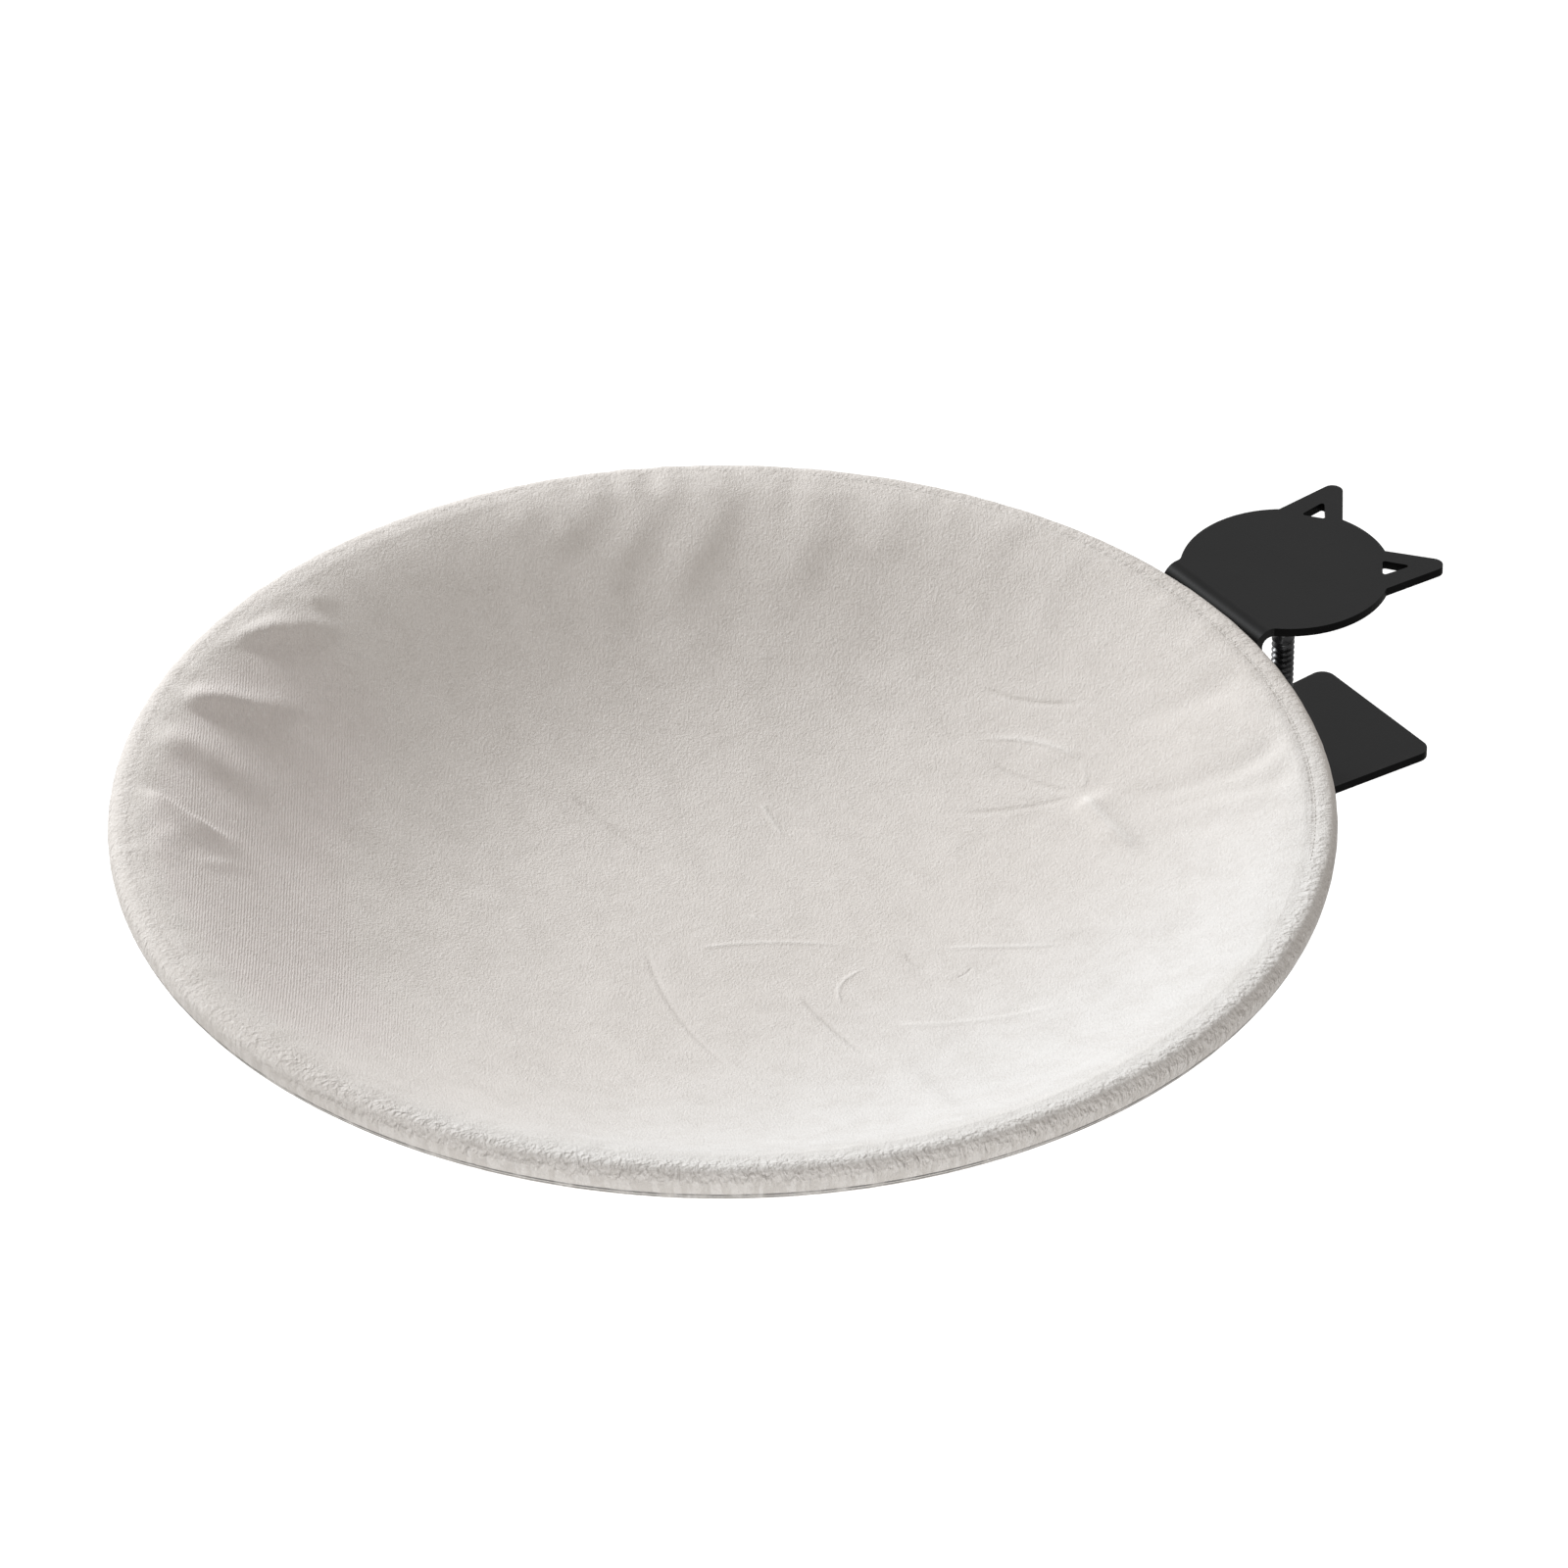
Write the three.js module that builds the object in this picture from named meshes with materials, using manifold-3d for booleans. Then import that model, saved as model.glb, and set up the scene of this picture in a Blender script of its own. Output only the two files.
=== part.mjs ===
// Clamp-on desk cat hammock, in millimetres.
// The origin is the middle of the clamp's upper seat, on the axis of the clamp screw.
// +Z is up, +Y points into the desk, and the hammock hangs out towards -Y. The object is the same on both sides of X = 0.
import * as THREE from "three";
import { mergeVertices } from "three/addons/utils/BufferGeometryUtils.js";
import Module from "manifold-3d";

const wasm = await Module();
wasm.setup();

// Driving dimensions.

// Room left between two pieces that touch or are welded together.
const TOUCH_GAP = 0.3;
// Running room round the thread of the clamp screw.
const THREAD_ROOM = 0.3;

// Clamp bracket, one bent steel plate.
const PLATE_THICKNESS = 3.2;
const BEND_INNER_RADIUS = 3;
const JAW_HEIGHT = 74;
const THROAT_DEPTH = 30.2;
const NECK_WIDTH = 52;
const NECK_FILLET = 3;
const LOWER_JAW_REACH = 44;
const LOWER_JAW_WIDTH = 61.4;
const LOWER_JAW_CORNER = 5;

// Cat head cut out of the upper jaw. Ear points are given by their side and forward place from the head's middle.
const HEAD_DIAMETER = 73;
const EAR_INNER_ROOT = { side: 11.8, forward: 34.54 };
const EAR_OUTER_ROOT = { side: 30, forward: 20.79 };
const EAR_POINT = { side: 32, forward: 50.6 };
const EAR_POINT_ROUNDING = 3.6;
const EAR_WINDOW = [
  { side: 15.9, forward: 30.1 },
  { side: 22.9, forward: 24.7 },
  { side: 24.4, forward: 36.4 },
];
const EAR_WINDOW_ROUNDING = 0.9;

// Rubber pad under the head.
const TOP_PAD_DIAMETER = 52;
const TOP_PAD_THICKNESS = 2;
const TOP_PAD_CHAMFER = 0.5;

// Clamp screw, with a ball that turns in the foot.
const SCREW_DIAMETER = 8;
const SCREW_NECK_DIAMETER = 5;
const SCREW_NECK_LENGTH = 4;
const BALL_DIAMETER = 8.4;
const SCREW_END_CHAMFER = 1;

// Pressure foot.
const FOOT_REST_GAP = 4.8;
const FOOT_DIAMETER = 32;
const FOOT_PLATE_THICKNESS = 2.5;
const FOOT_SOCKET_DIAMETER = 15;
const FOOT_SOCKET_WALL = 1.5;
const FOOT_LIP_OPENING = 6.4;
const FOOT_RIM_HEIGHT = 1.2;
const FOOT_RIM_WIDTH = 1.4;
const FOOT_RUBBER_THICKNESS = 2.5;
const FOOT_EDGE_ROUNDING = 0.6;

// Nut welded under the lower jaw.
const WELD_NUT_ACROSS_FLATS = 14;
const WELD_NUT_HEIGHT = 6.5;
const NUT_CHAMFER = 0.6;

// Hand knob.
const KNOB_DIAMETER = 40;
const KNOB_HEIGHT = 15;
const KNOB_LOBES = 8;
const KNOB_FLUTE_DIAMETER = 9;
const KNOB_FLUTE_DEPTH = 1.6;
const KNOB_ROUNDING = 1.6;
const KNOB_WELL_DIAMETER = 18;
const KNOB_WELL_DEPTH = 8;
const KNOB_NUT_ACROSS_FLATS = 13;
const KNOB_NUT_HEIGHT = 4.5;
const KNOB_CAP_THICKNESS = 1.5;
const KNOB_CAP_DOME = 0.8;
const CLOSING_ROOM = 0.3;

// Hoop of round steel bar that carries the sling, and the plate welded under it.
const HOOP_DIAMETER = 400;
const HOOP_BAR_DIAMETER = 9.5;
const HOOP_CENTRE_HEIGHT = 0.6;
const TAB_WIDTH = 44;
const TAB_THICKNESS = 4;
const TAB_TOP_DROP = 2;
const TAB_HEIGHT = 56;
const TAB_CORNER = 6;

// Screws that hold the hoop to the bracket.
const BOLT_DIAMETER = 5;
const BOLT_HEAD_DIAMETER = 9.4;
const BOLT_HOLE_ROOM = 0.3;
const BOLT_DRIVE_DIAMETER = 3;
const BOLT_DRIVE_DEPTH = 1.8;
const BOLT_SIDE_INSET = 9;
const BOLT_TOP_DROP = 17;
const BOLT_BOTTOM_RISE = 11;
const BOLT_END_PROUD = 1;
const BOLT_NUT_ACROSS_FLATS = 8;
const BOLT_NUT_HEIGHT = 4;

// Fabric sling.
const SLING_THICKNESS = 1.2;
const SLING_BAR_ROOM = 0.5;
const SLING_DEPTH = 50;
const SLING_CURVE_POWER = 2.75;
const SLING_EDGE_POWER = 15;
const SLING_CREST_INSET = 3;
const SLING_HEM_ANGLE = -135;
const SLING_HEM_REACH = 9.6;
const SLING_SLOT_ROOM = 2;
const SLING_SLOT_LIP = 1;

// Folds of the sling: the angle each one runs at from the hoop's middle, its half width in degrees, where it starts
// between middle and hoop, and how high it stands.
const FOLDS = [
  { angle: 203, spread: 9, startShare: 0.62, height: 4.5 },
  { angle: 217, spread: 8, startShare: 0.66, height: 5 },
  { angle: 232, spread: 9, startShare: 0.7, height: 4 },
  { angle: 129, spread: 8, startShare: 0.7, height: 2 },
  { angle: 142, spread: 8, startShare: 0.66, height: 2.5 },
  { angle: 156, spread: 8, startShare: 0.7, height: 2 },
  { angle: 28, spread: 12, startShare: 0.55, height: 2 },
];

// How finely curves are divided.
const HOOP_STEPS = 48;
const BAR_STEPS = 12;
const ROUND_STEPS = 32;
const SMALL_ROUND_STEPS = 20;
const ARC_STEPS = 6;
const HEAD_ARC_STEPS = 16;
const WRAP_STEPS = 5;
const BOWL_SHARES = [0.34, 0.58, 0.8, 0.945];

// Places that follow from the dimensions.

const HEAD_RADIUS = HEAD_DIAMETER / 2;
const JAW_TOP_UNDERSIDE = TOP_PAD_THICKNESS + TOUCH_GAP;
const JAW_TOP = JAW_TOP_UNDERSIDE + PLATE_THICKNESS;
const JAW_BOTTOM_TOP = JAW_TOP_UNDERSIDE - JAW_HEIGHT;
const JAW_BOTTOM = JAW_BOTTOM_TOP - PLATE_THICKNESS;
const UPRIGHT_INNER = -THROAT_DEPTH;
const UPRIGHT_OUTER = UPRIGHT_INNER - PLATE_THICKNESS;
const BEND_OUTER_RADIUS = BEND_INNER_RADIUS + PLATE_THICKNESS;

const SCREW_RADIUS = SCREW_DIAMETER / 2;
const SCREW_BORE_RADIUS = SCREW_RADIUS + THREAD_ROOM;
const FOOT_TOP = -FOOT_REST_GAP;
const FOOT_PLATE_TOP = FOOT_TOP - FOOT_RUBBER_THICKNESS - TOUCH_GAP;
const FOOT_PLATE_UNDERSIDE = FOOT_PLATE_TOP - FOOT_PLATE_THICKNESS;
const BALL_RADIUS = BALL_DIAMETER / 2;
const SOCKET_RADIUS = BALL_RADIUS + TOUCH_GAP;
const BALL_HEIGHT = FOOT_PLATE_TOP - FOOT_SOCKET_WALL - SOCKET_RADIUS;
const WELD_NUT_TOP = JAW_BOTTOM - TOUCH_GAP;
const WELD_NUT_UNDERSIDE = WELD_NUT_TOP - WELD_NUT_HEIGHT;
const KNOB_TOP = WELD_NUT_UNDERSIDE - FOOT_REST_GAP - CLOSING_ROOM + TOUCH_GAP;
const KNOB_BOTTOM = KNOB_TOP - KNOB_HEIGHT;
const KNOB_WELL_CEILING = KNOB_BOTTOM + KNOB_WELL_DEPTH;

const HOOP_RADIUS = HOOP_DIAMETER / 2;
const BAR_RADIUS = HOOP_BAR_DIAMETER / 2;
const SLING_INNER_RADIUS = BAR_RADIUS + SLING_BAR_ROOM;
const SLING_OUTER_RADIUS = SLING_INNER_RADIUS + SLING_THICKNESS;
const HOOP_TO_UPRIGHT = SLING_OUTER_RADIUS + 2 * TOUCH_GAP;
const HOOP_CENTRE_Y = UPRIGHT_OUTER - HOOP_TO_UPRIGHT - HOOP_RADIUS;
const TAB_FRONT = UPRIGHT_OUTER - TOUCH_GAP;
const TAB_BACK = TAB_FRONT - TAB_THICKNESS;
const TAB_TOP = HOOP_CENTRE_HEIGHT - TAB_TOP_DROP;
const BOLT_NUT_FACE = TAB_BACK - TOUCH_GAP;
const BOLT_END = BOLT_NUT_FACE - BOLT_NUT_HEIGHT - BOLT_END_PROUD;
const BOLT_SIDE = TAB_WIDTH / 2 - BOLT_SIDE_INSET;
const BOLT_PLACES = [TAB_TOP - TAB_HEIGHT + BOLT_BOTTOM_RISE, TAB_TOP - BOLT_TOP_DROP].flatMap((z) =>
  [-BOLT_SIDE, BOLT_SIDE].map((x) => ({ x, z })),
);

const degrees = THREE.MathUtils.degToRad;

// Shared shape helpers.

// A geometry as a solid that can be cut and joined.
function solid(geometry) {
  const bare = geometry.clone();
  bare.deleteAttribute("normal");
  bare.deleteAttribute("uv");
  const merged = mergeVertices(bare);
  return new wasm.Manifold(
    new wasm.Mesh({
      numProp: 3,
      vertProperties: merged.attributes.position.array,
      triVerts: new Uint32Array(merged.index.array),
    }),
  );
}

// The geometry of a solid.
function geometryOf(shape) {
  const mesh = shape.getMesh();
  return new THREE.BufferGeometry()
    .setAttribute("position", new THREE.BufferAttribute(Float32Array.from(mesh.vertProperties), 3))
    .setIndex(new THREE.BufferAttribute(Uint32Array.from(mesh.triVerts), 1));
}

// A closed outline whose corners are rounded by the radius given with each, if any.
function roundedOutline(corners) {
  const shape = new THREE.Shape();
  corners.forEach((corner, i) => {
    const here = new THREE.Vector2(corner.x, corner.y);
    const before = corners.at(i - 1);
    const after = corners[(i + 1) % corners.length];
    const back = new THREE.Vector2(before.x, before.y).sub(here).normalize();
    const on = new THREE.Vector2(after.x, after.y).sub(here).normalize();
    const half = Math.acos(back.dot(on)) / 2;
    const radius = corner.radius ?? 0;
    if (!radius) {
      if (i === 0) shape.moveTo(here.x, here.y);
      else shape.lineTo(here.x, here.y);
      return;
    }
    const run = radius / Math.tan(half);
    const start = here.clone().addScaledVector(back, run);
    const end = here.clone().addScaledVector(on, run);
    const middle = back.clone().add(on).normalize();
    const centre = here.clone().addScaledVector(middle, radius / Math.sin(half));
    if (i === 0) shape.moveTo(start.x, start.y);
    else shape.lineTo(start.x, start.y);
    const from = Math.atan2(start.y - centre.y, start.x - centre.x);
    const to = Math.atan2(end.y - centre.y, end.x - centre.x);
    shape.absarc(centre.x, centre.y, radius, from, to, back.cross(on) > 0);
  });
  shape.closePath();
  return shape;
}

// A prism that stands on the XY plane at the given height.
function prism(outline, height, bottom, steps = ARC_STEPS) {
  const options = { depth: height, bevelEnabled: false, curveSegments: steps };
  return solid(new THREE.ExtrudeGeometry(outline, options).translate(0, 0, bottom));
}

// A side profile in Y and Z, drawn out across X and centred on X = 0.
function acrossX(outline, width, steps = ARC_STEPS) {
  const options = { depth: width, bevelEnabled: false, curveSegments: steps };
  const turn = new THREE.Matrix4().makeBasis(
    new THREE.Vector3(0, 1, 0),
    new THREE.Vector3(0, 0, 1),
    new THREE.Vector3(1, 0, 0),
  );
  const drawn = new THREE.ExtrudeGeometry(outline, options).translate(0, 0, -width / 2);
  return solid(drawn.applyMatrix4(turn));
}

// A turned piece about Z. Its profile lists radius and height, upwards, and starts and ends on the axis or closes.
function turned(profile, steps = ROUND_STEPS) {
  const points = profile.map(([radius, height]) => new THREE.Vector2(radius, height));
  return solid(new THREE.LatheGeometry(points, steps).rotateX(Math.PI / 2));
}

// Points of an arc round a centre, from one angle to another in degrees.
function arcPoints(centre, radius, from, to, steps) {
  return Array.from({ length: steps + 1 }, (_, i) => {
    const angle = degrees(from + ((to - from) * i) / steps);
    return [centre[0] + radius * Math.cos(angle), centre[1] + radius * Math.sin(angle)];
  });
}

// A six-sided nut about Z with chamfered corners and a round bore.
function hexNut(acrossFlats, height, boreRadius, bottom) {
  const corner = acrossFlats / Math.sqrt(3);
  const outline = roundedOutline(
    Array.from({ length: 6 }, (_, i) => ({
      x: corner * Math.cos(degrees(60 * i)),
      y: corner * Math.sin(degrees(60 * i)),
    })),
  );
  const top = bottom + height;
  const flats = acrossFlats / 2;
  const blank = turned([
    [0, bottom],
    [flats, bottom],
    [corner, bottom + NUT_CHAMFER],
    [corner, top - NUT_CHAMFER],
    [flats, top],
    [0, top],
  ]);
  const bore = turned(
    [
      [0, bottom - height],
      [boreRadius, bottom - height],
      [boreRadius, top + height],
      [0, top + height],
    ],
    SMALL_ROUND_STEPS,
  );
  return prism(outline, height, bottom).intersect(blank).subtract(bore);
}

// Clamp bracket.

// Plan of the cat head with its neck, from straight behind the upright to the ear points.
function headPlan() {
  const plan = new THREE.Shape();
  const half = NECK_WIDTH / 2;
  const filletSide = half + NECK_FILLET;
  const filletY = -Math.sqrt((HEAD_RADIUS + NECK_FILLET) ** 2 - filletSide ** 2);
  const filletTurn = Math.atan2(-filletY, filletSide);
  const back = UPRIGHT_OUTER - PLATE_THICKNESS;
  const outerRoot = Math.atan2(EAR_OUTER_ROOT.forward, EAR_OUTER_ROOT.side);
  const innerRoot = Math.atan2(EAR_INNER_ROOT.forward, EAR_INNER_ROOT.side);
  const onHead = (angle) => ({ x: HEAD_RADIUS * Math.cos(angle), y: HEAD_RADIUS * Math.sin(angle) });
  const ear = (side) => {
    const roots = [onHead(outerRoot), onHead(innerRoot)];
    const [from, to] = side > 0 ? roots : roots.reverse();
    earTip(plan, from, { x: EAR_POINT.side, y: EAR_POINT.forward }, to, side);
  };

  plan.moveTo(half, back);
  plan.lineTo(half, filletY);
  plan.absarc(filletSide, filletY, NECK_FILLET, Math.PI, Math.PI - filletTurn, true);
  plan.absarc(0, 0, HEAD_RADIUS, -filletTurn, outerRoot, false);
  ear(1);
  plan.absarc(0, 0, HEAD_RADIUS, innerRoot, Math.PI - innerRoot, false);
  ear(-1);
  plan.absarc(0, 0, HEAD_RADIUS, Math.PI - outerRoot, Math.PI + filletTurn, false);
  plan.absarc(-filletSide, filletY, NECK_FILLET, filletTurn, 0, true);
  plan.lineTo(-half, back);
  plan.closePath();
  return plan;
}

// Adds an ear's rounded point to the plan, between two roots on the head's edge.
function earTip(plan, from, point, to, side) {
  const corner = new THREE.Vector2(side * point.x, point.y);
  const back = new THREE.Vector2(side * from.x, from.y).sub(corner).normalize();
  const on = new THREE.Vector2(side * to.x, to.y).sub(corner).normalize();
  const half = Math.acos(back.dot(on)) / 2;
  const run = EAR_POINT_ROUNDING / Math.tan(half);
  const start = corner.clone().addScaledVector(back, run);
  const end = corner.clone().addScaledVector(on, run);
  const middle = back.add(on).normalize();
  const centre = corner.clone().addScaledVector(middle, EAR_POINT_ROUNDING / Math.sin(half));
  const angleOf = (p) => Math.atan2(p.y - centre.y, p.x - centre.x);
  plan.lineTo(start.x, start.y);
  plan.absarc(centre.x, centre.y, EAR_POINT_ROUNDING, angleOf(start), angleOf(end), false);
}

// The triangular window of one ear.
function earWindow(side) {
  const outline = roundedOutline(
    EAR_WINDOW.map((p) => ({ x: side * p.side, y: p.forward, radius: EAR_WINDOW_ROUNDING })),
  );
  return prism(outline, 2 * PLATE_THICKNESS, JAW_TOP_UNDERSIDE - PLATE_THICKNESS / 2);
}

// Plan of the lower jaw, which widens away from the upright.
function lowerJawPlan() {
  const half = NECK_WIDTH / 2;
  const reach = LOWER_JAW_REACH;
  return roundedOutline([
    { x: -half, y: UPRIGHT_OUTER - PLATE_THICKNESS },
    { x: half, y: UPRIGHT_OUTER - PLATE_THICKNESS },
    { x: half, y: UPRIGHT_INNER },
    { x: LOWER_JAW_WIDTH / 2, y: reach, radius: LOWER_JAW_CORNER },
    { x: -LOWER_JAW_WIDTH / 2, y: reach, radius: LOWER_JAW_CORNER },
    { x: -half, y: UPRIGHT_INNER },
  ]);
}

// The screw's countersunk form along -Y from the desk side of the upright, grown by the room around it.
function boltForm(x, z, room, end) {
  const shank = BOLT_DIAMETER / 2 + room;
  const head = BOLT_HEAD_DIAMETER / 2 + room;
  const drop = (BOLT_HEAD_DIAMETER - BOLT_DIAMETER) / 2;
  const start = room > 0 ? PLATE_THICKNESS : 0;
  const profile = [
    [0, -start],
    [head, -start],
    ...(start > 0 ? [[head, 0]] : []),
    [shank, drop],
    [shank, end],
    [0, end],
  ];
  return turned(profile, SMALL_ROUND_STEPS)
    .rotate([90, 0, 0])
    .translate([x, UPRIGHT_INNER, z]);
}

function clampBracket() {
  const reach = Math.max(EAR_POINT.forward, LOWER_JAW_REACH);
  const side = roundedOutline([
    { x: reach, y: JAW_TOP },
    { x: UPRIGHT_OUTER, y: JAW_TOP, radius: BEND_OUTER_RADIUS },
    { x: UPRIGHT_OUTER, y: JAW_BOTTOM, radius: BEND_OUTER_RADIUS },
    { x: reach, y: JAW_BOTTOM },
    { x: reach, y: JAW_BOTTOM_TOP },
    { x: UPRIGHT_INNER, y: JAW_BOTTOM_TOP, radius: BEND_INNER_RADIUS },
    { x: UPRIGHT_INNER, y: JAW_TOP_UNDERSIDE, radius: BEND_INNER_RADIUS },
    { x: reach, y: JAW_TOP_UNDERSIDE },
  ]);
  const bent = acrossX(side, Math.max(HEAD_DIAMETER, 2 * EAR_POINT.side, LOWER_JAW_WIDTH));
  const middle = (JAW_TOP + JAW_BOTTOM) / 2;
  const upper = prism(headPlan(), JAW_TOP + PLATE_THICKNESS - middle, middle, HEAD_ARC_STEPS);
  const lower = prism(lowerJawPlan(), middle - JAW_BOTTOM + PLATE_THICKNESS, JAW_BOTTOM - PLATE_THICKNESS);
  const screwHole = turned(
    [
      [0, JAW_BOTTOM - PLATE_THICKNESS],
      [SCREW_BORE_RADIUS, JAW_BOTTOM - PLATE_THICKNESS],
      [SCREW_BORE_RADIUS, JAW_BOTTOM_TOP + PLATE_THICKNESS],
      [0, JAW_BOTTOM_TOP + PLATE_THICKNESS],
    ],
    SMALL_ROUND_STEPS,
  );
  const holes = BOLT_PLACES.map(({ x, z }) => boltForm(x, z, BOLT_HOLE_ROOM, 2 * PLATE_THICKNESS));
  return [screwHole, earWindow(1), earWindow(-1), ...holes].reduce(
    (plate, cut) => plate.subtract(cut),
    bent.intersect(upper.add(lower)),
  );
}

// Clamp screw, foot, knob.

function topJawPad() {
  const radius = TOP_PAD_DIAMETER / 2;
  return turned([
    [0, 0],
    [radius - TOP_PAD_CHAMFER, 0],
    [radius, TOP_PAD_CHAMFER],
    [radius, TOP_PAD_THICKNESS],
    [0, TOP_PAD_THICKNESS],
  ]);
}

function clampScrew() {
  const neck = SCREW_NECK_DIAMETER / 2;
  const bottom = KNOB_WELL_CEILING - TOUCH_GAP - KNOB_NUT_HEIGHT - TOUCH_GAP;
  const ballMeet = (Math.asin(neck / BALL_RADIUS) * 180) / Math.PI - 90;
  const neckEnd = BALL_HEIGHT - BALL_RADIUS - SCREW_NECK_LENGTH;
  return turned(
    [
      [0, bottom],
      [SCREW_RADIUS - SCREW_END_CHAMFER, bottom],
      [SCREW_RADIUS, bottom + SCREW_END_CHAMFER],
      [SCREW_RADIUS, neckEnd - (SCREW_RADIUS - neck)],
      [neck, neckEnd],
      ...arcPoints([0, BALL_HEIGHT], BALL_RADIUS, ballMeet, 90, ARC_STEPS).slice(0, -1),
      [0, BALL_HEIGHT + BALL_RADIUS],
    ],
    SMALL_ROUND_STEPS,
  );
}

// Pressed plate with a rim round its rubber and a socket underneath that is closed in round the ball.
function footCup() {
  const radius = FOOT_DIAMETER / 2;
  const socket = FOOT_SOCKET_DIAMETER / 2;
  const lip = FOOT_LIP_OPENING / 2;
  const lipAngle = (Math.acos(lip / SOCKET_RADIUS) * 180) / Math.PI;
  const bottom = BALL_HEIGHT - SOCKET_RADIUS * Math.sin(degrees(lipAngle)) - FOOT_SOCKET_WALL / 2;
  return turned([
    ...arcPoints([0, BALL_HEIGHT], SOCKET_RADIUS, 90, -lipAngle, ARC_STEPS).map((p, i) => (i ? p : [0, p[1]])),
    [lip, bottom],
    [socket - FOOT_EDGE_ROUNDING, bottom],
    [socket, bottom + FOOT_EDGE_ROUNDING],
    [socket, FOOT_PLATE_UNDERSIDE],
    [radius - FOOT_EDGE_ROUNDING, FOOT_PLATE_UNDERSIDE],
    [radius, FOOT_PLATE_UNDERSIDE + FOOT_EDGE_ROUNDING],
    [radius, FOOT_PLATE_TOP + FOOT_RIM_HEIGHT],
    [radius - FOOT_RIM_WIDTH, FOOT_PLATE_TOP + FOOT_RIM_HEIGHT],
    [radius - FOOT_RIM_WIDTH, FOOT_PLATE_TOP],
    [0, FOOT_PLATE_TOP],
  ]);
}

function footRubber() {
  const radius = FOOT_DIAMETER / 2 - FOOT_RIM_WIDTH - TOUCH_GAP;
  return turned([
    [0, FOOT_TOP - FOOT_RUBBER_THICKNESS],
    [radius, FOOT_TOP - FOOT_RUBBER_THICKNESS],
    [radius, FOOT_TOP - FOOT_EDGE_ROUNDING],
    [radius - FOOT_EDGE_ROUNDING, FOOT_TOP],
    [0, FOOT_TOP],
  ]);
}

// Round knob with shallow finger flutes and a well underneath for its nut.
function knob() {
  const radius = KNOB_DIAMETER / 2;
  const well = KNOB_WELL_DIAMETER / 2;
  const inset = radius - KNOB_ROUNDING;
  const body = turned(
    [
      [SCREW_BORE_RADIUS, KNOB_WELL_CEILING],
      [well, KNOB_WELL_CEILING],
      [well, KNOB_BOTTOM],
      ...arcPoints([inset, KNOB_BOTTOM + KNOB_ROUNDING], KNOB_ROUNDING, -90, 0, ARC_STEPS / 2),
      ...arcPoints([inset, KNOB_TOP - KNOB_ROUNDING], KNOB_ROUNDING, 0, 90, ARC_STEPS / 2),
      [SCREW_BORE_RADIUS, KNOB_TOP],
      [SCREW_BORE_RADIUS, KNOB_WELL_CEILING],
    ],
    6 * KNOB_LOBES,
  );
  const flute = KNOB_FLUTE_DIAMETER / 2;
  const cutter = turned(
    [
      [0, KNOB_BOTTOM - KNOB_HEIGHT],
      [flute, KNOB_BOTTOM - KNOB_HEIGHT],
      [flute, KNOB_TOP + KNOB_HEIGHT],
      [0, KNOB_TOP + KNOB_HEIGHT],
    ],
    SMALL_ROUND_STEPS,
  ).translate([radius + flute - KNOB_FLUTE_DEPTH, 0, 0]);
  return Array.from({ length: KNOB_LOBES }).reduce(
    (shape, _, i) => shape.subtract(cutter.rotate([0, 0, ((i + 1 / 2) * 360) / KNOB_LOBES])),
    body,
  );
}

function knobCap() {
  const radius = KNOB_WELL_DIAMETER / 2 - TOUCH_GAP;
  return turned([
    [0, KNOB_BOTTOM - KNOB_CAP_DOME],
    [radius / 2, KNOB_BOTTOM - KNOB_CAP_DOME / 2],
    [radius, KNOB_BOTTOM],
    [radius, KNOB_BOTTOM + KNOB_CAP_THICKNESS],
    [0, KNOB_BOTTOM + KNOB_CAP_THICKNESS],
  ]);
}

// Hoop and its fastening.

// The bent bar about its own centre, grown by the room around it.
function barRing(room) {
  const circle = arcPoints([HOOP_RADIUS, 0], BAR_RADIUS + room, 0, 360, BAR_STEPS);
  circle[circle.length - 1] = circle[0];
  return turned(circle, HOOP_STEPS);
}

const atHoop = (shape) => shape.translate([0, HOOP_CENTRE_Y, HOOP_CENTRE_HEIGHT]);

// Flat plate under the bar, hollowed at its top edge to sit round the bar, and drilled for the screws.
function mountingTab() {
  const half = TAB_WIDTH / 2;
  const outline = roundedOutline([
    { x: -half, y: TAB_TOP - TAB_HEIGHT, radius: TAB_CORNER },
    { x: half, y: TAB_TOP - TAB_HEIGHT, radius: TAB_CORNER },
    { x: half, y: TAB_TOP },
    { x: -half, y: TAB_TOP },
  ]);
  const blank = prism(outline, TAB_THICKNESS, 0).rotate([90, 0, 0]).translate([0, TAB_FRONT, 0]);
  const holes = BOLT_PLACES.map(({ x, z }) =>
    boltForm(x, z, BOLT_HOLE_ROOM, PLATE_THICKNESS + TAB_THICKNESS + BOLT_END_PROUD),
  );
  return holes.reduce(
    (plate, hole) => plate.subtract(hole),
    blank.subtract(atHoop(barRing(TOUCH_GAP))),
  );
}

// Countersunk screw with a hexagonal drive, its head flush with the desk side of the upright.
function mountBolt({ x, z }) {
  const drive = hexPrism(BOLT_DRIVE_DIAMETER, 2 * BOLT_DRIVE_DEPTH)
    .rotate([90, 0, 0])
    .translate([x, UPRIGHT_INNER + BOLT_DRIVE_DEPTH, z]);
  return boltForm(x, z, 0, UPRIGHT_INNER - BOLT_END).subtract(drive);
}

// A six-sided bar about Z, from zero upwards.
function hexPrism(acrossFlats, height) {
  const corner = acrossFlats / Math.sqrt(3);
  const outline = roundedOutline(
    Array.from({ length: 6 }, (_, i) => ({
      x: corner * Math.cos(degrees(60 * i)),
      y: corner * Math.sin(degrees(60 * i)),
    })),
  );
  return prism(outline, height, 0);
}

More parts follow.
